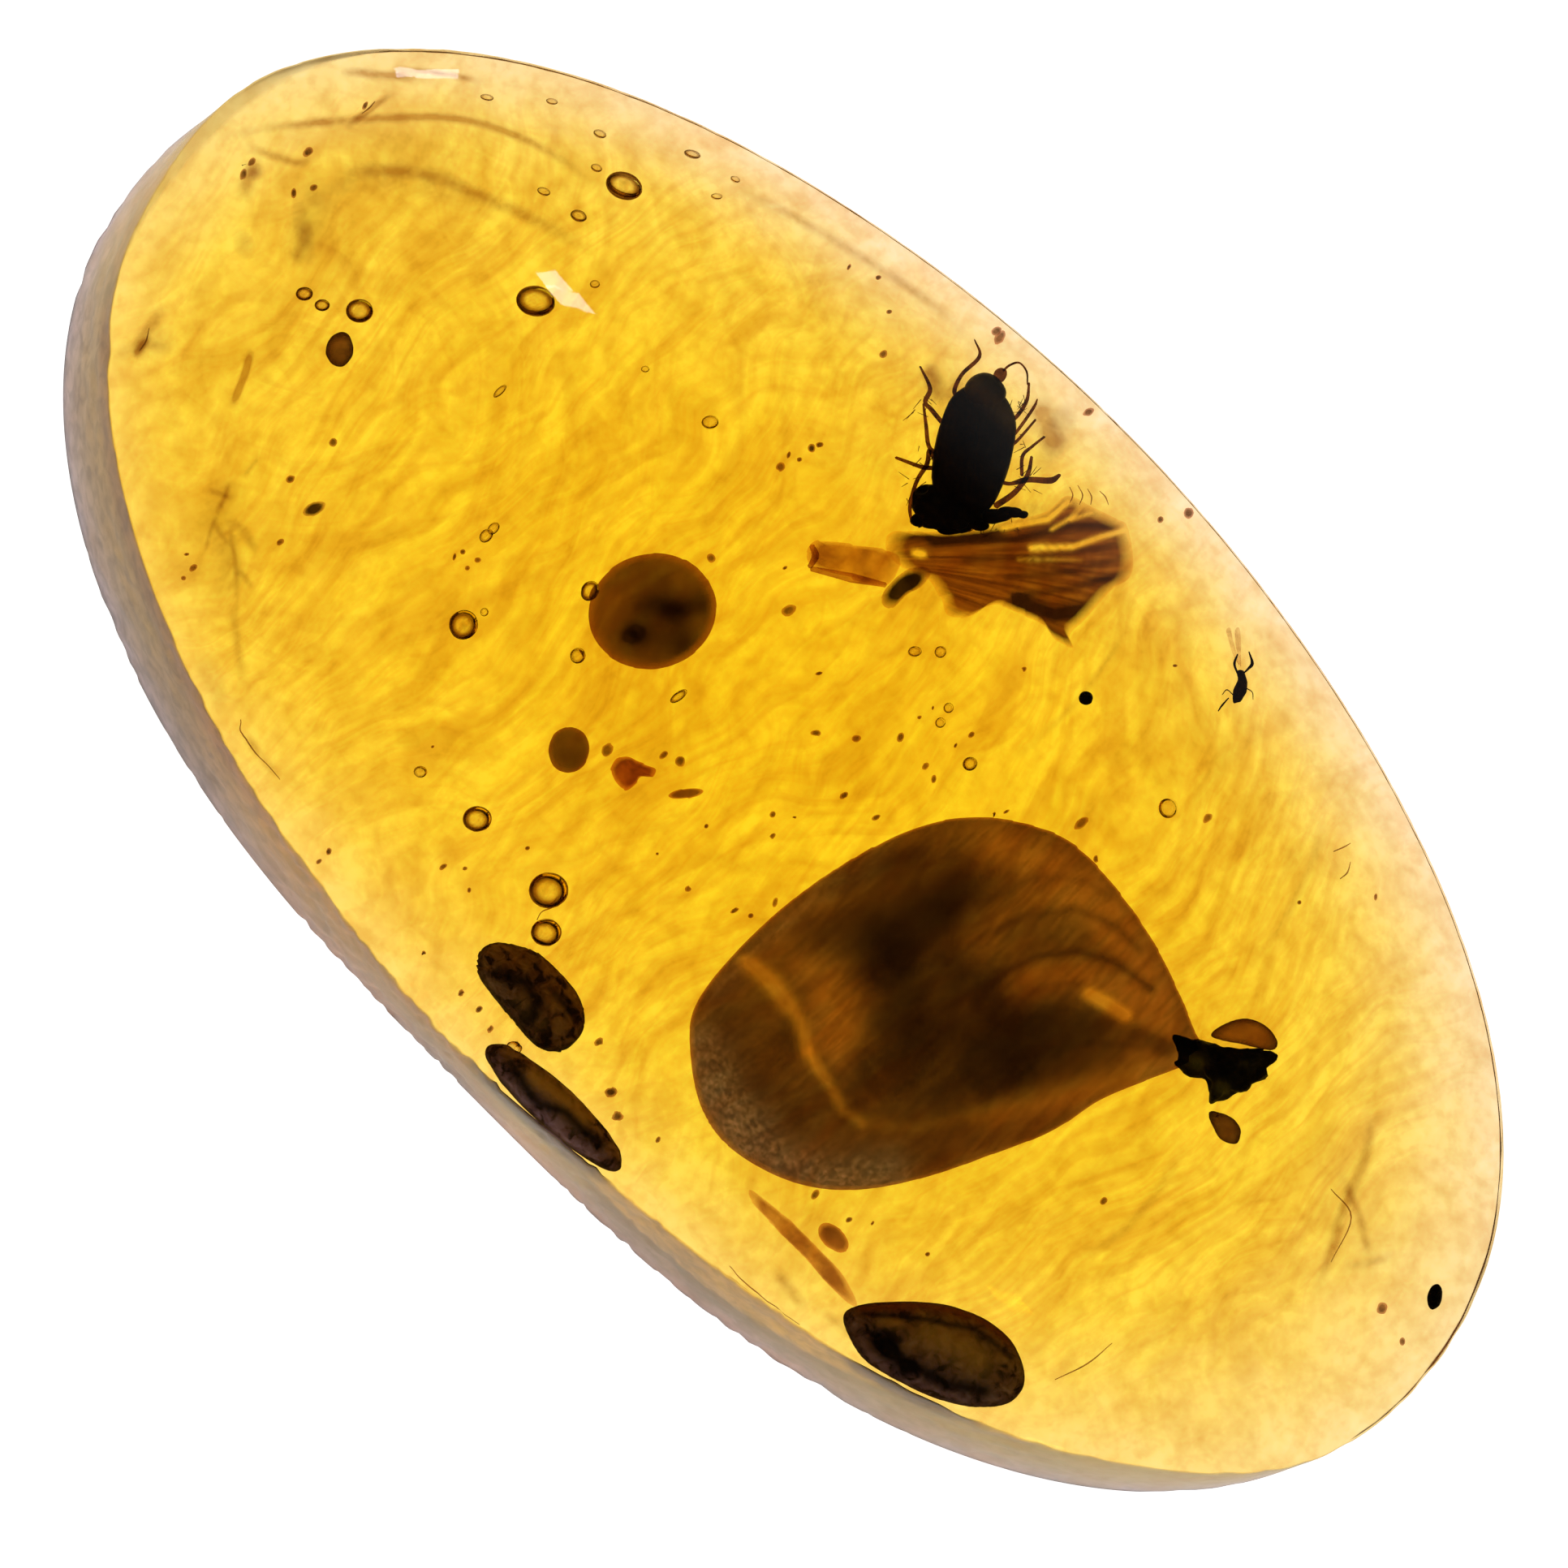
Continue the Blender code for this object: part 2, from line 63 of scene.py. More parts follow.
# %% Set up the camera
FRAME_POINTS = 1932
FRAME_WIDTH = 26.68
CAMERA_AWAY = 200.0
CAMERA_TILT = math.radians(11)
CAMERA_SIDE = math.radians(-98)
CAMERA_ROLL = math.radians(45.13)
FRAME_MIDDLE = (0.0207, -0.2224)
SEAM_LEVEL = 1.9

toward_camera = Vector((
    math.sin(CAMERA_TILT) * math.cos(CAMERA_SIDE),
    math.sin(CAMERA_TILT) * math.sin(CAMERA_SIDE),
    math.cos(CAMERA_TILT),
))
along = (Vector((1, 0, 0)) - toward_camera * toward_camera.x).normalized()
across = toward_camera.cross(along)
frame_right = along * math.cos(CAMERA_ROLL) + across * math.sin(CAMERA_ROLL)
frame_up = across * math.cos(CAMERA_ROLL) - along * math.sin(CAMERA_ROLL)
aim = frame_right * FRAME_MIDDLE[0] + frame_up * FRAME_MIDDLE[1]
eye = aim + toward_camera * (CAMERA_AWAY + SEAM_LEVEL)

lens = bpy.data.cameras.new("camera")
lens.sensor_width = 36.0
lens.lens = lens.sensor_width * CAMERA_AWAY / FRAME_WIDTH
lens.clip_start = 0.01
camera = bpy.data.objects.new("camera", lens)
turn = Matrix((frame_right, frame_up, toward_camera)).transposed()
camera.matrix_world = Matrix.Translation(eye * MM) @ turn.to_4x4()
bpy.context.scene.collection.objects.link(camera)
bpy.context.scene.camera = camera
print("lens", round(lens.lens), "mm, from", [round(value) for value in eye])

# %% [markdown]
# ## The shape of the pebble
# A polished pebble could be sculpted, but a few formulas keep it exactly on the solids it stands for. They give
# the height and reach of its surface at any angle: a low dome, a rounded back with a flat middle, and a side
# wall that is steep on one side and thin on the other.

# %% The pebble's formulas
HALF_LENGTH, HALF_WIDTH, ROUNDNESS = 14.72, 8.07, 2.13
SHIFT, BLUNTNESS, BEND = -0.013, 0.016, -0.0165
HEIGHT, DOME_FOOT, DOME_POWER = 5.6, 2.3, 1.25
BACK_EDGE, BACK_FLAT, BACK_POWER = 1.5, 0.35, 1.4
CORNER_IN, CORNER_UP = 0.1, 0.12
STEEP_SIDE = math.radians(-98)
STEEP_UP, STEEP_DOWN = 0.6, 1.0
LEFT_FLANK, RIGHT_FLANK, MIDDLE, FLANK_SPREAD = 57, -58, -3, 22


def near(theta, flank):
    angle = math.degrees(math.remainder(STEEP_SIDE - theta, math.tau))
    return math.exp(-(((angle - flank) / FLANK_SPREAD) ** 2))


def soft_step(value):
    value = min(max(value, 0.0), 1.0)
    return value * value * (3 - 2 * value)


def steepness(theta):
    return soft_step(0.5 + 0.7 * math.cos(STEEP_SIDE - theta))


def outline(theta):
    reach = (abs(math.cos(theta)) / HALF_LENGTH) ** ROUNDNESS + (abs(math.sin(theta)) / HALF_WIDTH) ** ROUNDNESS
    bean = 1 + SHIFT * math.sin(theta) + BLUNTNESS * math.cos(2 * theta) + BEND * math.sin(3 * theta)
    return reach ** (-1 / ROUNDNESS) * bean


def dome_foot(theta):
    return DOME_FOOT + STEEP_UP * steepness(theta) + 0.4 * near(theta, LEFT_FLANK) + 0.1 * near(theta, RIGHT_FLANK)


def back_edge(theta):
    return BACK_EDGE - STEEP_DOWN * steepness(theta) - 0.1 * near(theta, LEFT_FLANK)


def lean(theta):
    flanks = 0.28 * near(theta, LEFT_FLANK) + 0.12 * near(theta, RIGHT_FLANK) - 0.30 * near(theta, MIDDLE)
    return (0.30 + flanks) * soft_step(4 * math.cos(STEEP_SIDE - theta))


def sharpness(theta):
    """The corners are wide on the steep side and nearly sharp on the thin side."""
    return 0.12 + 0.88 * steepness(theta)


def back_point(theta, part):
    rise = max(part - BACK_FLAT, 0.0) / (1 - BACK_FLAT)
    return part * (outline(theta) - CORNER_IN * sharpness(theta)), back_edge(theta) * rise**BACK_POWER


def dome_point(theta, part):
    foot = dome_foot(theta)
    return part * (outline(theta) - lean(theta)), foot + (HEIGHT - foot) * (1 - part * part) ** DOME_POWER


# %% [markdown]
# ## Drawing the skin
# The formulas are drawn as rings of points, one ring for each step from the middle of the back to the top of the
# dome. The rings are joined by loops of faces. A little noise on the side wall gives it the waviness of a
# surface ground by hand. The two corners of the wall are rounded by blending from one line to the next.

# %% Draw the pebble's skin
SKIN_COLUMNS = 720
BACK_ROWS, WALL_ROWS, DOME_ROWS = 16, 16, 48
LAST_BACK_PART = 0.999
EDGE_ROUNDING = 0.05
HAND_GRINDING = 0.06


def skin_rows(theta):
    """(reach, height) from the middle of the back to the top of the dome."""
    rounding = EDGE_ROUNDING * sharpness(theta)
    parts = [math.sin(math.pi / 2 * row / (BACK_ROWS - 1)) for row in range(1, BACK_ROWS)]
    rows = [back_point(theta, min(part, LAST_BACK_PART)) for part in parts]
    rows.append(back_point(theta, 1.0))
    low = Vector((outline(theta), back_edge(theta) + CORNER_UP * sharpness(theta)))
    high = Vector((outline(theta) - lean(theta), dome_foot(theta)))
    for row in range(WALL_ROWS + 1):
        share = row / WALL_ROWS
        spot = low.lerp(high - Vector((0, rounding)), share)
        rows.append((spot.x, spot.y))
    rows.append((high.x - 0.3 * rounding, high.y - 0.3 * rounding))
    for row in range(DOME_ROWS):
        part = math.sin(math.pi / 2 * (1 - row / DOME_ROWS))
        part *= 1 - rounding / high.x
        rows.append(dome_point(theta, part))
    return rows


PALE_FROM, GOLDEN_END = 0.69, 0.15
WEDGE_AT, WEDGE_SPREAD = math.radians(-57), math.radians(14)
NARROW_AT, NARROW_SPREAD = math.radians(-56), math.radians(17)
LESS_TINT_AT, LESS_TINT_SPREAD = math.radians(-80), math.radians(8)
MOST_RISE = 2.1
BEVEL_AT, BEVEL_SPREAD, BEVEL_WIDTH = math.radians(177), math.radians(9), 0.024


def ground(theta, height):
    """The waviness of the hand-ground side."""
    spot = Vector((math.cos(theta) * 7, math.sin(theta) * 7, height * 0.8))
    chips = noise.noise(Vector((math.cos(theta) * 40, math.sin(theta) * 40, height * 3)))
    wave = noise.noise(spot) + 0.4 * noise.noise(spot * 3.7) + 1.2 * chips
    return HAND_GRINDING * wave * sharpness(theta)


def about(theta, middle, spread):
    """1 at this angle, falling to 0 on both sides of it."""
    return math.exp(-((math.remainder(theta - middle, math.tau) / spread) ** 2))


def bevel(theta):
    """The width of the ground bevel that runs on over the left end, as a share of the reach."""
    return BEVEL_WIDTH * about(theta, BEVEL_AT, BEVEL_SPREAD)


def draw_skin():
    bm = bmesh.new()
    names = ("wall", "wall_frost_and_shade", "wall_rise", "pale")
    wall, stain, rise, pale = (bm.verts.layers.float.new(name) for name in names)
    rings = []
    bottom = bm.verts.new((0, 0, 0))
    for column in range(SKIN_COLUMNS):
        theta = math.tau * column / SKIN_COLUMNS
        ring = []
        for reach, height in skin_rows(theta):
            size = reach / outline(theta)
            reach += min(ground(theta, height), 0.0) * size**6
            ring.append(bm.verts.new((reach * math.cos(theta), reach * math.sin(theta), height)))
            wedge = about(theta, WEDGE_AT, WEDGE_SPREAD)
            pale_from = PALE_FROM + GOLDEN_END * soft_step((-math.cos(theta) - 0.6) / 0.4)
            edge = soft_step((size - pale_from) / (1 - pale_from))
            ring[-1][pale] = max(edge, wedge * soft_step((size - 0.77) / 0.08))
        rings.append(ring)
        steep = steepness(theta)
        for row in range(BACK_ROWS - 1, BACK_ROWS + WALL_ROWS + 2):
            share = min(max((row - BACK_ROWS) / WALL_ROWS, 0.0), 1.0)
            less_tint = 1 - 0.35 * about(theta, LESS_TINT_AT, LESS_TINT_SPREAD)
            ring[row][wall] = min(1.6 * steep, 1.0)
            # This mask carries the side's tint: partly the grey of its frost, partly painted shade.
            ring[row][stain] = min(steep * (0.85 + 0.4 * near(theta, LEFT_FLANK)), 1.0) * less_tint
            ring[row][rise] = share * (1 + 1.1 * about(theta, NARROW_AT, NARROW_SPREAD)) / MOST_RISE
        for corner in ring[BACK_ROWS + WALL_ROWS + 2:]:
            part = corner.co.to_2d().length / (outline(theta) - lean(theta))
            on_bevel = soft_step((part - 1 + bevel(theta)) / (0.4 * bevel(theta) + 1e-9))
            corner[stain] = 0.45 * on_bevel
            corner[wall] = 0.6 * on_bevel
            corner[rise] = 0.6 / MOST_RISE
    top = bm.verts.new((0, 0, HEIGHT))
    for here, after in zip(rings, rings[1:] + rings[:1]):
        bm.faces.new((bottom, after[0], here[0]))
        bm.faces.new((top, here[-1], after[-1]))
        for row in range(len(here) - 1):
            bm.faces.new((here[row], after[row], after[row + 1], here[row + 1]))
    return bm


amber_skin = draw_skin()
amber_skin.normal_update()
skin_tree = bvhtree.BVHTree.FromBMesh(amber_skin)
print("skin faces", len(amber_skin.faces))

# %% [markdown]
# ## Looking into the pebble
# A ray of light bends where it enters the amber, so a thing under the dome is not seen where it lies. This
# cell follows the camera's ray through one point of its frame, bends it at the surface by Snell's law, and
# tells where it runs inside. Things are then placed at a level, or at a share of the way through.

# %% Follow a ray of sight
AMBER_IOR = 1.54


def ray_inside(point_x, point_y):
    """The place where the ray enters the amber, its direction inside, and how far it runs there."""
    shift_x = (point_x - FRAME_POINTS / 2) / FRAME_POINTS * FRAME_WIDTH
    shift_y = (FRAME_POINTS / 2 - point_y) / FRAME_POINTS * FRAME_WIDTH
    ray = (frame_right * shift_x + frame_up * shift_y - toward_camera * CAMERA_AWAY).normalized()
    entry, normal, _, _ = skin_tree.ray_cast(eye, ray)
    if entry is None:
        raise ValueError(f"the ray through {point_x}, {point_y} misses the pebble")
    bend = 1 / AMBER_IOR
    facing = -ray.dot(normal)
    inside = ray * bend + normal * (bend * facing - math.sqrt(1 - bend * bend * (1 - facing * facing)))
    _, _, _, depth = skin_tree.ray_cast(entry + inside * 0.01, inside)
    return entry, inside, depth


def seen_at(point_x, point_y, level=SEAM_LEVEL):
    """The place at this level that is seen at a point of the frame."""
    entry, inside, _ = ray_inside(point_x, point_y)
    return entry + inside * ((level - entry.z) / inside.z)


def seen_within(point_x, point_y, share):
    """The place seen at a point of the frame, at this share of the way through the amber."""
    entry, inside, depth = ray_inside(point_x, point_y)
    return entry + inside * depth * share


print("the middle of the frame shows", [round(value, 2) for value in seen_at(966, 966)])

# %% [markdown]
# ## Gas bubbles
# A bubble is a hollow in the amber. It is part of the amber's own mesh: a ball whose faces look inward. Light
# bends away from it all round its rim, which gives each bubble its dark ring with a bright middle; a later cell
# adds painted shade to that ring. Each is given by the point where it is seen, its half sizes in points, and its slant.

# %% Hollow out the bubbles
POINT = FRAME_WIDTH / FRAME_POINTS
BIG_BUBBLES = (
    (769, 229, 22, 16, -20), (660, 371, 23, 18, -10), (443, 383, 16, 14, 0), (375, 362, 10, 8, 0),
    (397, 376, 9, 7, 0), (571, 770, 17, 17, 0), (597, 754, 5, 5, 0), (588, 1009, 17, 15, 0),
    (676, 1097, 23, 21, 0), (673, 1149, 18, 16, 0), (518, 951, 8, 7, 0), (599, 660, 9, 7, 45),
    (608, 651, 8, 6, 45), (712, 808, 9, 9, 0), (727, 728, 12, 10, 60), (1195, 941, 8, 8, 0),
    (1439, 996, 12, 12, 0), (713, 266, 10, 7, -20), (875, 520, 10, 8, 0), (853, 190, 10, 5, -15),
    (1127, 803, 8, 6, 0), (1159, 803, 7, 7, 0), (670, 236, 8, 5, -20), (883, 242, 7, 4, 0),
    (633, 1291, 9, 8, 0), (836, 858, 11, 5, 35), (616, 482, 10, 4, 45), (1168, 873, 6, 6, 0),
    (1158, 891, 6, 6, 0), (739, 165, 8, 5, -20), (735, 207, 7, 5, -20), (680, 125, 7, 4, -10),
    (600, 120, 8, 4, -10), (906, 221, 6, 4, -20), (733, 350, 6, 5, 0), (795, 455, 5, 4, 0),
)
BUBBLE_SHARE = 0.45
BUBBLE_FLATNESS = 0.5


def hollow(bm, middle, half_sizes, slant, across_segments=28, rings=16):
    """A hollow in the amber: an ellipsoid that faces inward."""
    ball = bmesh.ops.create_uvsphere(bm, u_segments=across_segments, v_segments=rings, radius=1.0)["verts"]
    lie = Matrix((frame_right, frame_up, toward_camera)).transposed()
    lie = lie @ Matrix.Rotation(slant, 3, "Z") @ Matrix.Diagonal(half_sizes)
    for corner in ball:
        corner.co = middle + lie @ corner.co
    faces = list({face for corner in ball for face in corner.link_faces})
    bmesh.ops.reverse_faces(bm, faces=faces)
    for face in faces:
        face.material_index = 1


RING_FORCE = {(1439, 996): 0.12, (875, 520): 0.35, (712, 808): 0.6, (1195, 941): 0.8, (375, 362): 1.0, (397, 376): 1.0}


def ring_strength(point_x, point_y, half_x):
    """Larger bubbles have darker rings. A few lie out of focus and are fainter."""
    usual = min(max((half_x - 4) / 8, 0.35), 1.0)
    return RING_FORCE.get((point_x, point_y), usual)


bubbles = bmesh.new()
bubble_middles = []
bubbles.verts.layers.float.new("wall")
for point_x, point_y, half_x, half_y, slant in BIG_BUBBLES:
    entry, inside, depth = ray_inside(point_x, point_y)
    small = min(half_x, half_y) * POINT
    share = min(max(BUBBLE_SHARE, 1.5 * small / depth), 1 - 1.5 * small / depth)
    sizes = (half_x * POINT, half_y * POINT, small * BUBBLE_FLATNESS)
    bubble_middles.append(entry + inside * depth * share)
    hollow(bubbles, bubble_middles[-1], sizes, math.radians(slant))
bubble_mesh = bpy.data.meshes.new("bubbles")
bubbles.to_mesh(bubble_mesh)
bubbles.free()
amber_skin.from_mesh(bubble_mesh)
print("bubbles", len(BIG_BUBBLES))

# %% [markdown]
# ## Helpers for what lies inside
# Most inclusions are flat, rounded bodies whose outline is what one sees. A cushion shape fits them: rings that
# shrink from the outline toward the middle while they rise and fall. Its outline is a smooth curve through a few
# points of the frame, so the bent light is already taken into account. Each ring also stores how near it is
# to the rim, because thin rims let more light through, and the finishes use that.

# %% Make rounded bodies and limbs
RIM = "rim"


def smooth_loop(points, steps):
    """A closed smooth curve through these points."""
    points = [Vector(point) for point in points]
    count = len(points)
    curve = []
    for step in range(steps):
        place = step / steps * count
        index, share = int(place), place - int(place)
        a, b, c, d = (points[(index + offset) % count] for offset in (-1, 0, 1, 2))
        curve.append(0.5 * (
            2 * b + (c - a) * share + (2 * a - 5 * b + 4 * c - d) * share**2 + (3 * b - a - 3 * c + d) * share**3
        ))
    return curve


def smooth_line(points, steps):
    """An open smooth curve through these points."""
    points = [Vector(point) for point in points]
    ends = [2 * points[0] - points[1], *points, 2 * points[-1] - points[-2]]
    curve = []
    for step in range(steps + 1):
        place = min(step / steps * (len(points) - 1), len(points) - 1 - 1e-6)
        index, share = int(place), place - int(place)
        a, b, c, d = ends[index:index + 4]
        curve.append(0.5 * (
            2 * b + (c - a) * share + (2 * a - 5 * b + 4 * c - d) * share**2 + (3 * b - a - 3 * c + d) * share**3
        ))
    return curve


def cushion(bm, seen_outline, level, half_height, uneven=0.0, grain=1.0, rings=10, steps=64, seed=0.0, mm=False):
    """A rounded body whose outline is seen along these points of the frame, or lies at these millimetres."""
    loop = [Vector((x, y, level)) if mm else seen_at(x, y, level) for x, y in smooth_loop(seen_outline, steps)]
    middle = sum(loop, Vector()) / len(loop)
    layer = bm.verts.layers.float.get(RIM) or bm.verts.layers.float.new(RIM)
    rows = []
    for ring in range(-rings + 1, rings):
        slope = math.pi / 2 * ring / rings
        row = []
        for edge in loop:
            spot = middle.lerp(edge, math.cos(slope))
            spot.z = level + half_height * math.sin(slope)
            rough = uneven * noise.noise(spot * grain + Vector((seed, seed, 0)))
            corner = bm.verts.new(spot + (spot - middle) * rough)
            corner[layer] = math.cos(slope)
            row.append(corner)
        rows.append(row)
    for low, high in zip(rows, rows[1:]):
        for step in range(steps):
            after = (step + 1) % steps
            bm.faces.new((low[step], low[after], high[after], high[step]))
    for row, side in ((rows[0], -1), (rows[-1], 1)):
        pole = bm.verts.new(middle + Vector((0, 0, side * half_height)))
        for step in range(steps):
            after = (step + 1) % steps
            ends = (row[step], row[after]) if side > 0 else (row[after], row[step])
            bm.faces.new((*ends, pole))


def oval(middle_x, middle_y, half_x, half_y, slant=0.0, corners=8):
    """The points of an oval in the frame, slanted up to the right by this many degrees."""
    turned = math.radians(-slant)
    points = []
    for corner in range(corners):
        angle = math.tau * corner / corners
        x, y = half_x * math.cos(angle), half_y * math.sin(angle)
        shift_x = x * math.cos(turned) - y * math.sin(turned)
        points.append((middle_x + shift_x, middle_y + x * math.sin(turned) + y * math.cos(turned)))
    return points


def limb(bm, joints, widths, sides=8, steps=None):
    """A round limb along these places, with a width at each: a closed tube with pointed ends."""
    steps = steps or 6 * (len(joints) - 1)
    line = smooth_line(joints, steps)
    layer = bm.verts.layers.float.get(RIM) or bm.verts.layers.float.new(RIM)
    rows = []
    for index, spot in enumerate(line):
        place = index / steps * (len(widths) - 1)
        low = min(int(place), len(widths) - 2)
        width = widths[low] + (widths[low + 1] - widths[low]) * (place - low)
        ahead = (line[min(index + 1, steps)] - line[max(index - 1, 0)]).normalized()
        side = ahead.cross(Vector((0, 0, 1))).normalized()
        above = side.cross(ahead)
        row = []
        for corner in range(sides):
            angle = math.tau * corner / sides
            row.append(bm.verts.new(spot + (side * math.cos(angle) + above * math.sin(angle)) * width / 2))
        for corner in row:
            corner[layer] = 0.6
        rows.append(row)
    for low, high in zip(rows, rows[1:]):
        for corner in range(sides):
            after = (corner + 1) % sides
            bm.faces.new((low[corner], low[after], high[after], high[corner]))
    for row, ends, out in ((rows[0], line[:2], 1), (rows[-1], line[-2:], -1)):
        tip = bm.verts.new(ends[0 if out > 0 else 1] - (ends[1] - ends[0]).normalized() * out * widths[0] / 4)
        for corner in range(sides):
            after = (corner + 1) % sides
            pair = (row[after], row[corner]) if out > 0 else (row[corner], row[after])
            bm.faces.new((*pair, tip))


def soft_ribbon(bm, seen_points, half_width, level, strength=1.0, across=8):
    """A thin sheet along these points of the frame. Its mask fades at its edges and ends."""
    line = [seen_at(x, y, level) for x, y in smooth_line(seen_points, 10 * (len(seen_points) - 1))]
    layer = bm.verts.layers.float.get(RIM) or bm.verts.layers.float.new(RIM)
    rows = []
    for index, spot in enumerate(line):
        ahead = line[min(index + 1, len(line) - 1)] - line[max(index - 1, 0)]
        side = Vector((-ahead.y, ahead.x, 0)).normalized() * half_width * POINT
        to_end = min(index, len(line) - 1 - index) / (len(line) - 1)
        row = []
        for step in range(across + 1):
            share = 2 * step / across - 1
            corner = bm.verts.new(spot + side * share)
            corner[layer] = strength * (1 - share * share) ** 2 * min(4 * to_end, 1.0)
            row.append(corner)
        rows.append(row)
    for low, high in zip(rows, rows[1:]):
        for step in range(across):
            bm.faces.new((low[step], low[step + 1], high[step + 1], high[step]))


def soft_patch(bm, seen_outline, level, strength=1.0, rings=10, steps=40, seed=0.0):
    """A flat cloud with this outline. Its mask fades out toward its edge."""
    loop = [seen_at(x, y, level) for x, y in smooth_loop(seen_outline, steps)]
    middle = sum(loop, Vector()) / len(loop)
    layer = bm.verts.layers.float.get(RIM) or bm.verts.layers.float.new(RIM)
    rows = []
    for ring in range(1, rings + 1):
        share = ring / rings
        row = []
        for edge in loop:
            spot = middle.lerp(edge, share)
            corner = bm.verts.new(spot)
            cloud = 1 + 0.5 * noise.noise(spot * 4 + Vector((seed, 0, 0)))
            corner[layer] = strength * (1 - share**2) * cloud
            row.append(corner)
        rows.append(row)
    centre = bm.verts.new(middle)
    centre[layer] = strength
    for step in range(steps):
        after = (step + 1) % steps
        bm.faces.new((centre, rows[0][step], rows[0][after]))
        for low, high in zip(rows, rows[1:]):
            bm.faces.new((low[step], high[step], high[after], low[after]))


def seen_limb(bm, seen_points, width_points, level, sides=8):
    """A limb that is seen along these points of the frame. Its widths are in points too."""
    joints = [seen_at(x, y, level + rise) for x, y, rise in seen_points]
    limb(bm, joints, [width * POINT for width in width_points], sides)


def piece(name, bm, finish, stands_for=()):
    """A piece from a bmesh drawn in millimetres: it takes its finish and rides with the pebble."""
    bmesh.ops.scale(bm, vec=(MM, MM, MM), verts=bm.verts)
    bmesh.ops.recalc_face_normals(bm, faces=bm.faces)
    return put(name, bm, finish, stands_for)


def put(name, bm, finish, stands_for):
    mesh = bpy.data.meshes.new(name)
    bm.to_mesh(mesh)
    bm.free()
    mesh.shade_smooth()
    mesh.materials.append(finish)
    made = bpy.data.objects.new(name, mesh)
    bpy.context.scene.collection.objects.link(made)
    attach(made, BODY)
    if stands_for:
        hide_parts(*stands_for)
    print(name, len(mesh.polygons), "faces")
    return made


# %% [markdown]
# ## Finishes for what lies inside
# Two kinds of finish serve all inclusions. A dense one, for crusts and insects, has its colour on the surface.
# A sheer one, for resin, membranes and pellets, lets light through and tints it, with nearly no bending,
# because it is surrounded by amber. Both wander between two shades with noise, and the dense one has a fine bump.

# %% Make the finishes
SHEER_IOR = 1.01
GLOSS_INSIDE = 0.06


def new_finish(name):
    made = bpy.data.materials.new(name)
    made.use_nodes = True
    nodes, links = made.node_tree.nodes, made.node_tree.links
    return made, nodes, links, nodes["Principled BSDF"]


def millimetres(nodes, links, scale=(1.0, 1.0, 1.0), shift=(0.0, 0.0, 0.0)):
    """The place on the object, in millimetres, scaled and shifted."""
    place = nodes.new("ShaderNodeTexCoord")
    mm = nodes.new("ShaderNodeVectorMath")
    mm.operation = "MULTIPLY_ADD"
    mm.inputs[1].default_value = tuple(one / MM for one in scale)
    mm.inputs[2].default_value = shift
    links.new(place.outputs["Object"], mm.inputs[0])
    return mm.outputs[0]


def grainy(nodes, links, scale, detail=4.0, distortion=0.0, stretch=(1.0, 1.0, 1.0), source=None):
    """A noise of this many grains to the millimetre."""
    texture = nodes.new("ShaderNodeTexNoise")
    texture.inputs["Scale"].default_value = scale
    texture.inputs["Detail"].default_value = detail
    texture.inputs["Distortion"].default_value = distortion
    links.new(source or millimetres(nodes, links, stretch), texture.inputs["Vector"])
    return texture.outputs["Fac"]


def ramp(nodes, links, factor, stops):
    """Colours along a factor."""
    band = nodes.new("ShaderNodeValToRGB")
    elements = band.color_ramp.elements
    while len(elements) < len(stops):
        elements.new(0.5)
    for element, (position, colour) in zip(elements, stops):
        element.position = position
        element.color = (*colour, 1)
    links.new(factor, band.inputs["Fac"])
    return band.outputs["Color"]


def blend(nodes, links, factor, first, second, way="MIX"):
    mixed = nodes.new("ShaderNodeMix")
    mixed.data_type = "RGBA"
    mixed.blend_type = way
    for socket, value in (("Factor", factor), ("A", first), ("B", second)):
        socket = next(s for s in mixed.inputs if s.name == socket and s.enabled)
        if isinstance(value, (int, float)):
            socket.default_value = value
        elif isinstance(value, tuple):
            socket.default_value = (*value, 1)
        else:
            links.new(value, socket)
    return next(s for s in mixed.outputs if s.enabled)


def mask(nodes, name=RIM):
    found = nodes.new("ShaderNodeAttribute")
    found.attribute_name = name
    return found.outputs["Fac"]


def bumpy(nodes, links, shader, factor, strength, distance=0.02):
    bump = nodes.new("ShaderNodeBump")
    bump.inputs["Strength"].default_value = strength
    bump.inputs["Distance"].default_value = distance * MM
    links.new(factor, bump.inputs["Height"])
    links.new(bump.outputs["Normal"], shader.inputs["Normal"])


def dense(name, dark, light, grain, roughness=0.5, bump=0.6, stops=(0.35, 0.65), painted_glints=None):
    """Colour on the surface, wandering between two shades. Inside amber a crust hardly shines."""
    made, nodes, links, shader = new_finish(name)
    shader.inputs["Roughness"].default_value = roughness
    shader.inputs["Specular IOR Level"].default_value = GLOSS_INSIDE
    factor = grainy(nodes, links, grain, 5.0, 0.3)
    colours = ramp(nodes, links, factor, ((stops[0], dark), (stops[1], light)))
    # Where a glints mask is painted, a painted highlight is mixed into the colour.
    if painted_glints:
        colours = blend(nodes, links, mask(nodes, "painted_glints"), colours, painted_glints)
    links.new(colours, shader.inputs["Base Color"])
    bumpy(nodes, links, shader, grainy(nodes, links, grain * 4), bump)
    return made


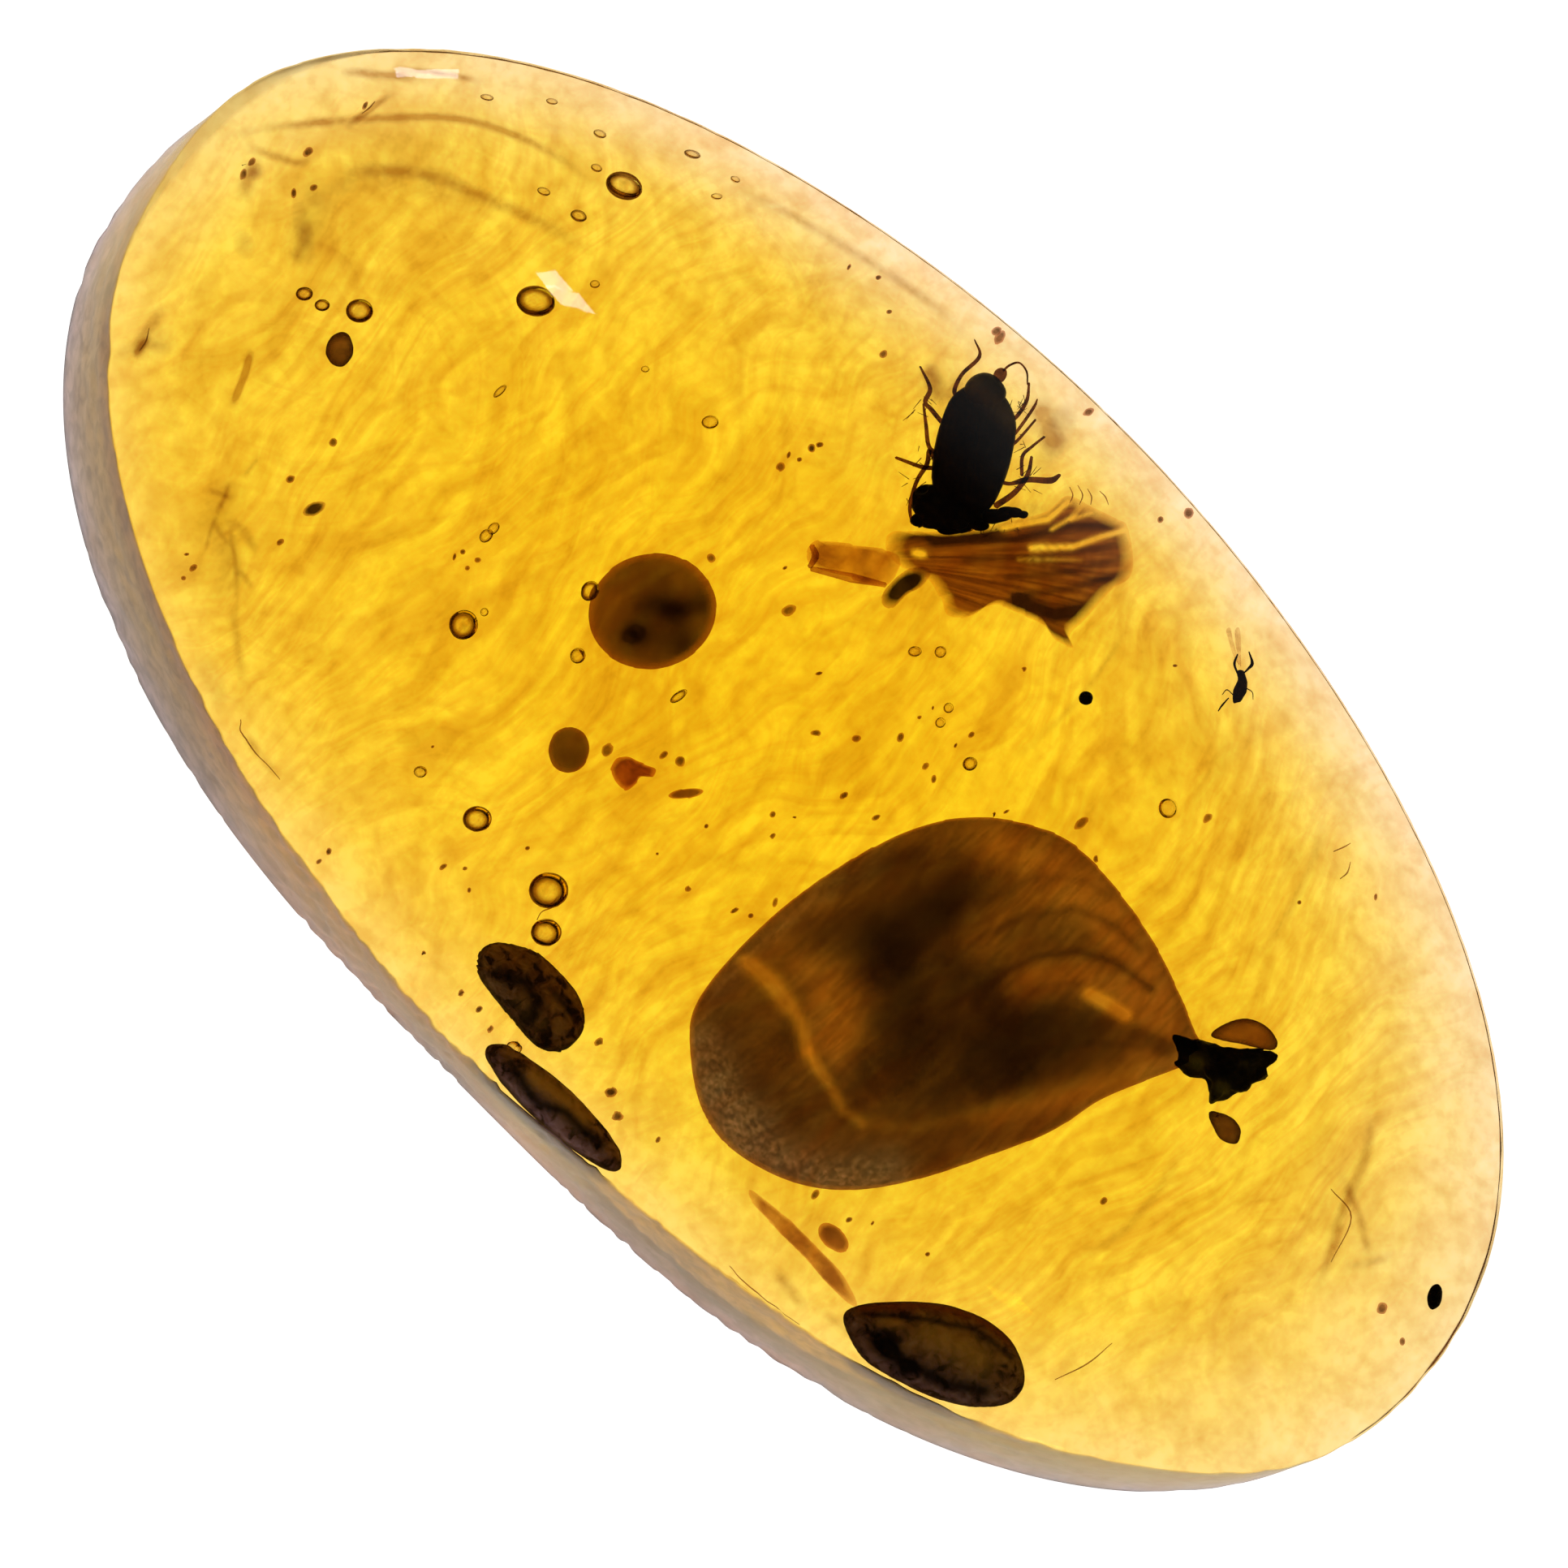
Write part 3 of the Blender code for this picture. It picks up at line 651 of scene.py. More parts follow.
def sheer(name, dark, light, grain, rim_light=None, rim_from=0.78, spots=None, stops=(0.35, 0.65)):
    """Light passes through and is tinted, with another tint at the rim and, where painted, in spots."""
    made, nodes, links, shader = new_finish(name)
    shader.inputs["Roughness"].default_value = 0.1
    shader.inputs["IOR"].default_value = SHEER_IOR
    shader.inputs["Transmission Weight"].default_value = 1.0
    factor = grainy(nodes, links, grain, 5.0, 0.4)
    colours = ramp(nodes, links, factor, ((stops[0], dark), (stops[1], light)))
    if spots:
        colours = blend(nodes, links, mask(nodes, "spots"), colours, spots)
    if rim_light:
        rim = ramp(nodes, links, mask(nodes), ((rim_from, (0, 0, 0)), (1.0, (1, 1, 1))))
        colours = blend(nodes, links, rim, colours, rim_light)
    links.new(colours, shader.inputs["Base Color"])
    return made


def film(name, tint, grain=3.0):
    """A flat, soft-edged tint: clear where its mask is 0."""
    made, nodes, links, shader = new_finish(name)
    shader.inputs["Roughness"].default_value = 0.0
    shader.inputs["IOR"].default_value = 1.0
    shader.inputs["Transmission Weight"].default_value = 1.0
    cloud = ramp(nodes, links, grainy(nodes, links, grain), ((0.3, (0.55, 0.55, 0.55)), (0.65, (1, 1, 1))))
    force = blend(nodes, links, 1.0, mask(nodes), cloud, "MULTIPLY")
    links.new(blend(nodes, links, force, (1.0, 1.0, 1.0), tint), shader.inputs["Base Color"])
    return made


print("finishes ready")

# %% [markdown]
# ## The amber
# Amber is a clear resin. Its yellow comes from depth: each millimetre takes away most of the blue light and a
# little of the green, so a thin rim is pale and the middle is deep gold. That is absorption in the volume.
# The old flows of resin show as fine streaks that curl round the place where they swirled. They could be sheets
# inside it, but a stretched noise that tints the two surfaces shows them from everywhere at little cost. The
# dome and the back are polished, and the side is only ground, so it is frosted; its greyer tint is partly painted
# shade.

# %% Finish the amber
ABSORB_BLUE, ABSORB_GREEN, ABSORB_RED = 0.62, 0.05, 0.004
SWIRL_AT = (-10.5, -1.1)
SWIRL_CORE = 2.5
POLISHED, FROSTED = 0.02, 0.55
# The side's tint is partly the grey of its frost and partly painted shade, for the dim room it looks out on.
WALL_TINT = (0.27, 0.175, 0.28)
RIM_TINT = (0.98, 0.82, 0.85)


def math_node(nodes, links, operation, *values):
    step = nodes.new("ShaderNodeMath")
    step.operation = operation
    for socket, value in zip(step.inputs, values):
        if isinstance(value, (int, float)):
            socket.default_value = value
        else:
            links.new(value, socket)
    return step.outputs[0]


def warped(nodes, links, place, scale, amount):
    """A place pushed about by a broad noise, so that nothing drawn from it is too regular."""
    texture = nodes.new("ShaderNodeTexNoise")
    texture.inputs["Scale"].default_value = scale
    texture.inputs["Detail"].default_value = 3.0
    links.new(place, texture.inputs["Vector"])
    push = nodes.new("ShaderNodeVectorMath")
    push.operation = "MULTIPLY_ADD"
    push.inputs[1].default_value = (amount, amount, amount)
    push.inputs[2].default_value = (-amount / 2, -amount / 2, -amount / 2)
    links.new(texture.outputs["Color"], push.inputs[0])
    moved = nodes.new("ShaderNodeVectorMath")
    links.new(place, moved.inputs[0])
    links.new(push.outputs[0], moved.inputs[1])
    return moved.outputs[0]


def swirl_place(nodes, links, along_arc, out_from_middle, depth):
    """Coordinates that follow circles round the swirl, with no spokes at its middle."""
    parts = nodes.new("ShaderNodeSeparateXYZ")
    place = millimetres(nodes, links, shift=(-SWIRL_AT[0], -SWIRL_AT[1], 0.0))
    links.new(warped(nodes, links, place, 0.16, 5.0), parts.inputs[0])
    x, y, z = (parts.outputs[axis] for axis in "XYZ")
    squares = math_node(nodes, links, "ADD", math_node(nodes, links, "MULTIPLY", x, x),
                        math_node(nodes, links, "MULTIPLY", y, y))
    reach = math_node(nodes, links, "SQRT", squares)
    soft = math_node(nodes, links, "ADD", reach, SWIRL_CORE)
    whole = nodes.new("ShaderNodeCombineXYZ")
    for axis, value in (("X", x), ("Y", y)):
        ratio = math_node(nodes, links, "DIVIDE", value, soft)
        links.new(math_node(nodes, links, "MULTIPLY", ratio, along_arc), whole.inputs[axis])
    outward = math_node(nodes, links, "MULTIPLY", reach, out_from_middle)
    links.new(math_node(nodes, links, "MULTIPLY_ADD", z, depth, outward), whole.inputs["Z"])
    return whole.outputs[0]


def streak_place(nodes, links, across, along_streak):
    """Coordinates stretched across the pebble's length, so that a noise turns into slanting streaks."""
    bent = warped(nodes, links, millimetres(nodes, links), 0.14, 7.0)
    stretch = nodes.new("ShaderNodeVectorMath")
    stretch.operation = "MULTIPLY"
    stretch.inputs[1].default_value = (across, along_streak, 1.0)
    links.new(bent, stretch.inputs[0])
    return stretch.outputs[0]


def wall_frost(nodes, links):
    """The ground side: streaks along it, and a tint by height that is partly painted shade, darker at its upper edge
    and whitish at its foot.
    """
    scratches = grainy(nodes, links, 1.0, 6.0, 0.5, stretch=(3.2, 3.2, 4.0))
    ground_tint = ramp(nodes, links, scratches, ((0.38, tuple(0.55 * one for one in WALL_TINT)), (0.60, WALL_TINT)))
    rise = ramp(nodes, links, mask(nodes, "wall_rise"), (
        (0.0, (1.2, 1.35, 1.05)), (0.12, (1.0, 1.02, 0.95)), (0.34, (0.88, 0.84, 0.84)), (0.42, (0.62, 0.45, 0.48)),
        (0.476, (0.62, 0.45, 0.48)), (0.54, (2.5, 1.9, 0.6)),
    ))
    blotches = ramp(nodes, links, grainy(nodes, links, 1.6, 6.0, 0.6), ((0.38, (0.72, 0.68, 0.62)), (0.56, (1.08, 1.08, 1.1))))
    ground_tint = blend(nodes, links, 1.0, ground_tint, blotches, "MULTIPLY")
    return blend(nodes, links, 1.0, ground_tint, rise, "MULTIPLY")


def amber_finish():
    made, nodes, links, shader = new_finish("amber")
    shader.inputs["IOR"].default_value = AMBER_IOR
    shader.inputs["Transmission Weight"].default_value = 1.0
    fine = grainy(nodes, links, 1.0, 3.0, 0.15, source=streak_place(nodes, links, 3.6, 0.22))
    broad = grainy(nodes, links, 1.0, 3.0, 0.5, source=streak_place(nodes, links, 1.3, 0.2))
    arcs = grainy(nodes, links, 1.0, 3.0, 0.6, source=swirl_place(nodes, links, 1.3, 2.2, 0.5))
    clouds = grainy(nodes, links, 0.9, 7.0, 0.8)
    streaks = ramp(nodes, links, fine, ((0.34, (0.85, 0.61, 0.25)), (0.48, (0.94, 0.73, 0.33)), (0.62, (1.0, 0.87, 0.44))))
    flows = ramp(nodes, links, broad, ((0.34, (0.86, 0.74, 0.55)), (0.46, (0.96, 0.92, 0.83)), (0.58, (1, 1, 1))))
    curls = ramp(nodes, links, arcs, ((0.36, (0.89, 0.80, 0.73)), (0.52, (1, 1, 1))))
    mottles = ramp(nodes, links, clouds, ((0.34, (0.88, 0.77, 0.6)), (0.46, (0.96, 0.93, 0.8)), (0.60, (1, 1, 1))))
    speckle = ramp(nodes, links, grainy(nodes, links, 4.0, 6.0), ((0.36, (0.90, 0.83, 0.74)), (0.56, (1, 1, 1))))
    threads = ramp(nodes, links, fine, ((0.38, (0.97, 0.91, 0.86)), (0.52, (1, 1, 1))))
    tint = blend(nodes, links, 1.0, blend(nodes, links, 1.0, streaks, flows, "MULTIPLY"), curls, "MULTIPLY")
    tint = blend(nodes, links, mask(nodes, "pale"), tint, RIM_TINT)
    for layer in (threads, mottles, speckle):
        tint = blend(nodes, links, 1.0, tint, layer, "MULTIPLY")
    wall = mask(nodes, "wall")
    frost = wall_frost(nodes, links)
    # The side's tint, partly painted shade, is blended in by its mask.
    links.new(blend(nodes, links, mask(nodes, "wall_frost_and_shade"), tint, frost), shader.inputs["Base Color"])
    finish = nodes.new("ShaderNodeMapRange")
    finish.inputs["To Min"].default_value = POLISHED
    finish.inputs["To Max"].default_value = FROSTED
    links.new(wall, finish.inputs["Value"])
    links.new(finish.outputs[0], shader.inputs["Roughness"])
    bumpy(nodes, links, shader, grainy(nodes, links, 0.6, 2.0), 0.12, 0.05)
    volume = nodes.new("ShaderNodeVolumeAbsorption")
    volume.inputs["Density"].default_value = ABSORB_BLUE / MM
    volume.inputs["Color"].default_value = (1 - ABSORB_RED / ABSORB_BLUE, 1 - ABSORB_GREEN / ABSORB_BLUE, 0, 1)
    links.new(volume.outputs[0], nodes["Material Output"].inputs["Volume"])
    return made


def bubble_finish():
    """The wall of a bubble is bare amber with no tint."""
    made, nodes, links, shader = new_finish("bubble_wall")
    shader.inputs["Base Color"].default_value = (1, 0.97, 0.9, 1)
    shader.inputs["Roughness"].default_value = 0.0
    shader.inputs["IOR"].default_value = AMBER_IOR
    shader.inputs["Transmission Weight"].default_value = 1.0
    return made


bmesh.ops.scale(amber_skin, vec=(MM, MM, MM), verts=amber_skin.verts)
amber = put("clear_amber", amber_skin, amber_finish(), ("amber_lower", "amber_upper"))
amber.data.materials.append(bubble_finish())

# %% [markdown]
# ## The large drop
# A drop of darker resin sank into the flow before it set. It is fullest at its left end and runs out in a tip.
# Light still gets through it, so its finish is sheer, with strokes of its own: two bright folds that are painted
# highlights on its curved skin, curved bands round the tip, a dark middle, and a grey film with fine hatching on its
# broad end.
# The strokes are painted as masks on its points, like weights, and the finish turns them into tints.

# %% The drop
DROP_OUTLINE = (
    (850, 1284), (859, 1235), (904, 1176), (977, 1108), (1066, 1049), (1149, 1014), (1213, 1007), (1272, 1017),
    (1321, 1039), (1370, 1088), (1419, 1157), (1454, 1226), (1474, 1275), (1488, 1300), (1444, 1319), (1360, 1353),
    (1297, 1393), (1223, 1422), (1134, 1452), (1051, 1466), (977, 1456), (904, 1417), (864, 1363),
)
DROP_LEVEL, DROP_HALF_HEIGHT = 1.95, 0.9
PAINTED_HIGHLIGHTS = (
    (((912, 1186), (931, 1204), (954, 1235), (973, 1266), (985, 1305)), 6.5, 0.7),
    (((985, 1305), (996, 1326), (1012, 1346), (1031, 1379), (1054, 1392)), 5.5, 0.55),
    (((922, 1194), (942, 1218), (960, 1246)), 10, 0.8),
    (((1054, 1392), (1116, 1398), (1194, 1383)), 9, 0.12), (((1194, 1383), (1263, 1360), (1333, 1344), (1410, 1320)), 12, 0.16),
    (((1340, 1231), (1360, 1241), (1384, 1256)), 7, 1.6),
)
DARK_FOLDS = (
    (((1100, 1190), (1130, 1140), (1180, 1100)), 38, 0.75),
    (((1120, 1250), (1200, 1290), (1270, 1300)), 36, 0.8),
    (((1010, 1150), (1070, 1130), (1100, 1180)), 26, 0.5),
    (((1090, 1300), (1160, 1340), (1240, 1330)), 22, 0.5),
    (((896, 1246), (908, 1300), (936, 1350), (980, 1390)), 22, 0.45),
    (((1165, 1190), (1210, 1222), (1250, 1262)), 26, 0.45),
    (((1400, 1275), (1420, 1284), (1440, 1292)), 12, 0.8),
    (((1010, 1420), (1080, 1432), (1160, 1425)), 10, 0.35),
    (((1040, 1090), (1090, 1066), (1130, 1054)), 16, 0.6),
)
FILM_STROKES = (
    (((872, 1290), (884, 1350), (916, 1400), (965, 1432), (1030, 1448), (1090, 1444)), 26, 0.9),
    (((905, 1330), (940, 1390)), 24, 0.5),
    (((880, 1230), (930, 1170), (1000, 1110), (1080, 1062)), 14, 0.3),
)
ARCS_ROUND_TIP = (
    (((1196, 1250), (1212, 1222), (1240, 1202), (1271, 1185), (1325, 1177), (1372, 1189), (1418, 1222)), 7, 0.9),
    (((1160, 1196), (1205, 1160), (1263, 1133), (1325, 1124), (1372, 1143), (1404, 1172)), 7, 0.7),
    (((1215, 1112), (1270, 1084), (1330, 1086), (1366, 1106)), 6, 0.45),
    (((1240, 1250), (1280, 1222), (1320, 1216), (1344, 1228)), 6, 0.5),
    (((1300, 1300), (1350, 1290), (1400, 1296)), 5, 0.5),
)
LIGHT_FOLDS = (
    (((1225, 1040), (1300, 1068), (1360, 1120), (1400, 1185), (1430, 1240)), 24, 1.0),
    (((1270, 1205), (1330, 1200), (1390, 1230), (1430, 1270)), 20, 0.9),
    (((1200, 1160), (1270, 1110), (1340, 1110), (1380, 1150)), 18, 0.5),
    (((1410, 1290), (1450, 1303)), 20, 0.9),
    (((985, 1190), (1022, 1210), (1050, 1250), (1035, 1288)), 22, 0.9),
    (((1010, 1240), (1020, 1290)), 20, 0.8),
    (((1230, 1374), (1320, 1354), (1400, 1328)), 14, 0.7),
    (((930, 1180), (1000, 1115), (1060, 1080)), 14, 0.4),
)


def paint(bm, name, strokes, level, top_only=False):
    """A mask that is strong along some strokes. Each has its points, half its width and its strength."""
    layer = bm.verts.layers.float.new(name)
    places = numpy.array([corner.co.xy for corner in bm.verts])
    total = numpy.zeros(len(places))
    for points, half, force in strokes:
        nearest = numpy.full(len(places), 1e9)
        line = [numpy.array(seen_at(x, y, level).xy) for x, y in points]
        for start, end in zip(line, line[1:]):
            run = end - start
            share = numpy.clip((places - start) @ run / (run @ run), 0.0, 1.0)
            away = places - start - share[:, None] * run
            nearest = numpy.minimum(nearest, numpy.hypot(away[:, 0], away[:, 1]))
        total += force * numpy.exp(-((nearest / (half * POINT)) ** 2))
    for corner, value in zip(bm.verts, total):
        corner[layer] = 0.0 if top_only and corner.co.z < level else float(value)


def drop_finish():
    made, nodes, links, shader = new_finish("dark_resin")
    shader.inputs["Roughness"].default_value = 0.12
    shader.inputs["IOR"].default_value = SHEER_IOR
    shader.inputs["Transmission Weight"].default_value = 1.0
    cloud = grainy(nodes, links, 0.9, 7.0, 0.8)
    body = ramp(nodes, links, cloud, ((0.36, (0.036, 0.020, 0.05)), (0.5, (0.082, 0.045, 0.09)), (0.64, (0.15, 0.082, 0.15))))
    edge = ramp(nodes, links, mask(nodes), ((0.55, (0, 0, 0)), (1.0, (1, 1, 1))))
    body = blend(nodes, links, edge, body, (0.16, 0.08, 0.12))
    body = blend(nodes, links, mask(nodes, "light_folds"), body, (0.30, 0.15, 0.22))
    body = blend(nodes, links, mask(nodes, "film"), body, (0.25, 0.185, 1.0))
    body = blend(nodes, links, mask(nodes, "dark_folds"), body, (0.016, 0.008, 0.03))
    body = blend(nodes, links, mask(nodes, "arcs"), body, (0.02, 0.008, 0.03))
    hatch = grainy(nodes, links, 1.0, 2.0, 0.3, stretch=(9.0, 1.6, 1.0))
    hatched = ramp(nodes, links, hatch, ((0.40, (0.62, 0.60, 0.6)), (0.60, (1, 1, 1))))
    dust = ramp(nodes, links, grainy(nodes, links, 9.0, 3.0), ((0.40, (0.35, 0.35, 0.35)), (0.58, (1, 1, 1))))
    for force, layer in ((mask(nodes, "upper"), hatched), (mask(nodes, "film"), dust)):
        body = blend(nodes, links, force, body, blend(nodes, links, 1.0, body, layer, "MULTIPLY"))
    # Painted highlights: warm bright tints along the folds of the drop's top.
    body = blend(nodes, links, mask(nodes, "painted_highlights"), body, (0.95, 0.60, 0.5))
    skin = ramp(nodes, links, mask(nodes), ((0.985, (0, 0, 0)), (1.0, (1, 1, 1))))
    body = blend(nodes, links, skin, body, (0.45, 0.22, 0.2))
    links.new(body, shader.inputs["Base Color"])
    return made


drop = bmesh.new()
cushion(drop, DROP_OUTLINE, DROP_LEVEL, DROP_HALF_HEIGHT, rings=64, steps=400)
# The bright folds are painted highlights, on the top surface only.
paint(drop, "painted_highlights", PAINTED_HIGHLIGHTS, DROP_LEVEL, top_only=True)
paint(drop, "arcs", ARCS_ROUND_TIP, DROP_LEVEL, top_only=True)
paint(drop, "dark_folds", DARK_FOLDS, DROP_LEVEL)
paint(drop, "light_folds", LIGHT_FOLDS, DROP_LEVEL)
paint(drop, "film", FILM_STROKES, DROP_LEVEL)
upper = drop.verts.layers.float.new("upper")
for corner in drop.verts:
    corner[upper] = float(corner.co.z > DROP_LEVEL)
piece("dark_drop", drop, drop_finish(), ("resin_drop",))

# %% [markdown]
# ## The lump, the gas dome and the grain at the drop's tip
# A shiny black lump of charred bark sits at the tip. Beside it is half a bubble with a brown skin. The lump
# is rough with facets, and its bluish glints are painted highlights in its colour.

# %% The things at the tip
LUMP_OUTLINE = (
    (1444, 1299), (1454, 1281), (1483, 1283), (1518, 1291), (1567, 1295), (1568, 1309), (1550, 1332), (1518, 1347),
    (1491, 1358), (1486, 1334), (1464, 1320),
)
DOME_OUTLINE = ((1493, 1277), (1508, 1262), (1537, 1255), (1562, 1266), (1574, 1284), (1566, 1294), (1532, 1287))
lump = bmesh.new()
cushion(lump, LUMP_OUTLINE, 1.95, 0.34, uneven=0.3, grain=5.0, rings=12, steps=72)
# The glints are painted highlights: lighter bluish patches in the lump's colour.
PAINTED_GLINTS = ((((1462, 1306), (1478, 1312)), 9, 0.9), (((1500, 1342), (1510, 1346)), 7, 0.8), (((1530, 1312), (1540, 1314)), 5, 0.4))
paint(lump, "painted_glints", PAINTED_GLINTS, 1.95)
charred = dense("charred", (0.003, 0.002, 0.002), (0.014, 0.012, 0.012), 5.0, roughness=0.35, bump=1.0)
charred_painted_glints = dense("charred_painted_glints", (0.003, 0.002, 0.002), (0.014, 0.012, 0.012), 5.0, bump=1.0, painted_glints=(0.12, 0.15, 0.5))
piece("charred_lump", lump, charred_painted_glints, ("black_lump",))
dome = bmesh.new()
cushion(dome, DOME_OUTLINE, 1.9, 0.3, rings=10)
# The dark rim of this skin is painted shade, like the rings of the bubbles.
dome_skin = sheer("dome_skin", (0.16, 0.07, 0.05), (0.34, 0.17, 0.12), 2.0, rim_light=(0.03, 0.01, 0.01), rim_from=0.55)
piece("half_bubble", dome, dome_skin, ("gas_dome",))

# %% [markdown]
# ## Pellets
# The two round pellets are droppings or resin-soaked crumbs. They are nearly opaque, with a rim that lets brown
# light through and one darker spot.

# %% The pellets
PELLET_SPOTS = (
    (((777, 779), (780, 781)), 13, 1.0), (((800, 745), (835, 752), (862, 744)), 18, 0.7), (((800, 790), (838, 796)), 20, 0.6),
    (((816, 720), (830, 760), (850, 790)), 22, 0.3),
)
pellet_skin = sheer("pellet", (0.12, 0.072, 0.06), (0.20, 0.108, 0.1), 1.1, rim_light=(0.34, 0.15, 0.1), rim_from=0.86,
                    spots=(0.008, 0.003, 0.01))
pellet = bmesh.new()
cushion(pellet, oval(804, 753, 79, 71, 14, 14), 1.9, 0.48, rings=20, steps=110)
paint(pellet, "spots", PELLET_SPOTS, 1.9)
piece("round_crumb", pellet, pellet_skin, ("round_pellet",))
small = bmesh.new()
cushion(small, oval(701, 924, 25, 28), 1.9, 0.25, uneven=0.03, grain=3.0)
paint(small, "spots", ((((695, 930), (706, 934)), 12, 0.4),), 1.9)
piece("small_crumb", small, pellet_skin, ("small_pellet",))

# %% [markdown]
# ## The crusted ovals
# Three flat seeds or scales lie along the steep side. They are dark brown with a grey bloom, and dark cracks
# run across them. The last one has a brown lid that light shines through.

# %% The ovals
OVAL_OUTLINES = {
    "dark_oval_1": ((
        (588, 1183), (595, 1168), (616, 1162), (647, 1168), (673, 1183), (694, 1203), (712, 1227), (720, 1253),
        (716, 1274), (699, 1292), (681, 1295), (664, 1290), (647, 1274), (625, 1248), (603, 1220), (590, 1201),
    ), 1.9, 0.42),
    "dark_oval_2": (oval(1.2, -7.12, 1.55, 0.42, -2, 12), 1.85, 0.48),
    "dark_oval_3": ((
        (1039, 1622), (1054, 1610), (1099, 1604), (1136, 1604), (1181, 1612), (1223, 1632), (1248, 1656),
        (1261, 1686), (1261, 1711), (1241, 1729), (1199, 1734), (1149, 1721), (1106, 1701), (1069, 1679),
        (1049, 1651),
    ), 1.9, 0.48),
}
CRACKS = {
    "dark_oval_1": ((((610, 1205), (640, 1215), (655, 1240), (650, 1262)), 10, 0.9), (((680, 1230), (700, 1252)), 7, 0.8)),
    "dark_oval_2": ((((625, 1315), (640, 1340), (660, 1365), (690, 1375), (715, 1400), (735, 1412)), 8, 0.9),),
    "dark_oval_3": (
        (((1075, 1650), (1095, 1662), (1110, 1690)), 12, 0.9), (((1120, 1685), (1160, 1708), (1210, 1718)), 10, 0.9),
        (((1062, 1622), (1124, 1628), (1199, 1643), (1243, 1676)), 5, 0.8), (((1084, 1664), (1088, 1668)), 12, 0.9),
    ),
}
BLOOMS = {
    "dark_oval_1": ((((640, 1240), (660, 1265)), 10, 0.35),),
    "dark_oval_2": ((((650, 1335), (680, 1355), (710, 1385)), 14, 0.9),),
    "dark_oval_3": ((((1140, 1650), (1180, 1665), (1200, 1680)), 22, 0.7), (((1085, 1632), (1100, 1635)), 8, 0.6)),
}


LIDS = {"dark_oval_3": ((((1062, 1614), (1130, 1609), (1200, 1623), (1245, 1654)), 9, 1.0),)}


def crust_finish():
    made, nodes, links, shader = new_finish("crust")
    shader.inputs["Roughness"].default_value = 0.6
    shader.inputs["Specular IOR Level"].default_value = GLOSS_INSIDE
    cloud = grainy(nodes, links, 4.5, 9.0, 0.6)
    body = ramp(nodes, links, cloud, ((0.38, (0.05, 0.03, 0.03)), (0.48, (0.30, 0.21, 0.50)), (0.64, (0.52, 0.43, 1.0))))
    body = blend(nodes, links, mask(nodes, "blooms"), body, (0.88, 0.76, 1.0))
    body = blend(nodes, links, mask(nodes, "lid"), body, (0.35, 0.15, 0.05))
    body = blend(nodes, links, mask(nodes, "cracks"), body, (0.02, 0.012, 0.01))
    edge = ramp(nodes, links, mask(nodes), ((0.90, (0, 0, 0)), (1.0, (1, 1, 1))))
    body = blend(nodes, links, edge, body, (0.07, 0.035, 0.03))
    links.new(body, shader.inputs["Base Color"])
    bumpy(nodes, links, shader, grainy(nodes, links, 9.0, 4.0), 0.9, 0.03)
    return made


crust = crust_finish()
for name, (points, level, half_height) in OVAL_OUTLINES.items():
    body = bmesh.new()
    by_the_wall = name == "dark_oval_2"
    cushion(body, points, level, half_height, uneven=0.02, grain=2.0, rings=28, steps=150, mm=by_the_wall)
    paint(body, "cracks", CRACKS[name], level)
    paint(body, "blooms", BLOOMS[name], level)
    paint(body, "lid", LIDS.get(name, ()), level)
    piece("crusted_" + name[-6:], body, crust, (name,))

# %% [markdown]
# ## Plant scraps
# The pleated scrap is a torn piece of membrane that opens like a fan. Each pleat shows as a light stroke and a
# dark stroke of painted shade in its crease. The strip, the slivers and the red crumb are of the same thin brown stuff.

# %% The scraps
MEMBRANE_OUTLINE = (
    (1098, 656), (1156, 655), (1211, 649), (1254, 640), (1290, 630), (1315, 611), (1346, 625), (1377, 640),
    (1389, 649), (1396, 688), (1391, 712), (1368, 728), (1338, 762), (1318, 782), (1322, 798), (1300, 788),
    (1285, 770), (1254, 755), (1224, 745), (1193, 760), (1168, 758), (1158, 735), (1142, 712), (1112, 700),
    (1094, 682),
)
MEMBRANE_GAPS = (
    (((1236, 650), (1291, 640), (1317, 618)), 3.5, 1.3), (((1262, 640), (1290, 630), (1306, 616)), 2.5, 0.9),
    (((1296, 652), (1320, 638), (1334, 622)), 2.5, 0.8), (((1270, 675), (1322, 674), (1355, 662), (1390, 652)), 3.5, 1.2),
    (((1129, 681), (1136, 683)), 4.5, 1.4), (((1320, 640), (1345, 632)), 3, 0.8), (((1255, 690), (1330, 690)), 2.5, 0.3),
)
MEMBRANE_CREASE_SHADE = (
    (((1150, 668), (1254, 664), (1315, 648), (1370, 648)), 7, 0.9), (((1255, 742), (1300, 757), (1340, 752), (1374, 730)), 11, 1.3),
    (((1190, 690), (1280, 686), (1350, 676), (1390, 668)), 5, 0.6), (((1240, 712), (1310, 706), (1392, 686)), 5, 0.5),
    (((1250, 735), (1320, 725), (1390, 705)), 5, 0.6), (((1104, 660), (1160, 662), (1230, 652)), 8, 0.9),
    (((1300, 700), (1340, 712), (1380, 716)), 5, 0.4), (((1290, 775), (1318, 795)), 5, 0.8),
)


FAN_APEX = (1040, 690)


def fan_place(nodes, links):
    """Coordinates that spread from the corner where all pleats meet."""
    apex = seen_at(*FAN_APEX)
    parts = nodes.new("ShaderNodeSeparateXYZ")
    links.new(millimetres(nodes, links, shift=(-apex.x, -apex.y, 0.0)), parts.inputs[0])
    x, y = parts.outputs["X"], parts.outputs["Y"]
    angle = math_node(nodes, links, "ARCTAN2", y, x)
    whole = nodes.new("ShaderNodeCombineXYZ")
    links.new(math_node(nodes, links, "MULTIPLY", angle, PLEATS), whole.inputs["X"])
    links.new(math_node(nodes, links, "MULTIPLY_ADD", x, 0.5, math_node(nodes, links, "MULTIPLY", y, 0.5)), whole.inputs["Y"])
    return whole.outputs[0]


PLEATS = 34.0


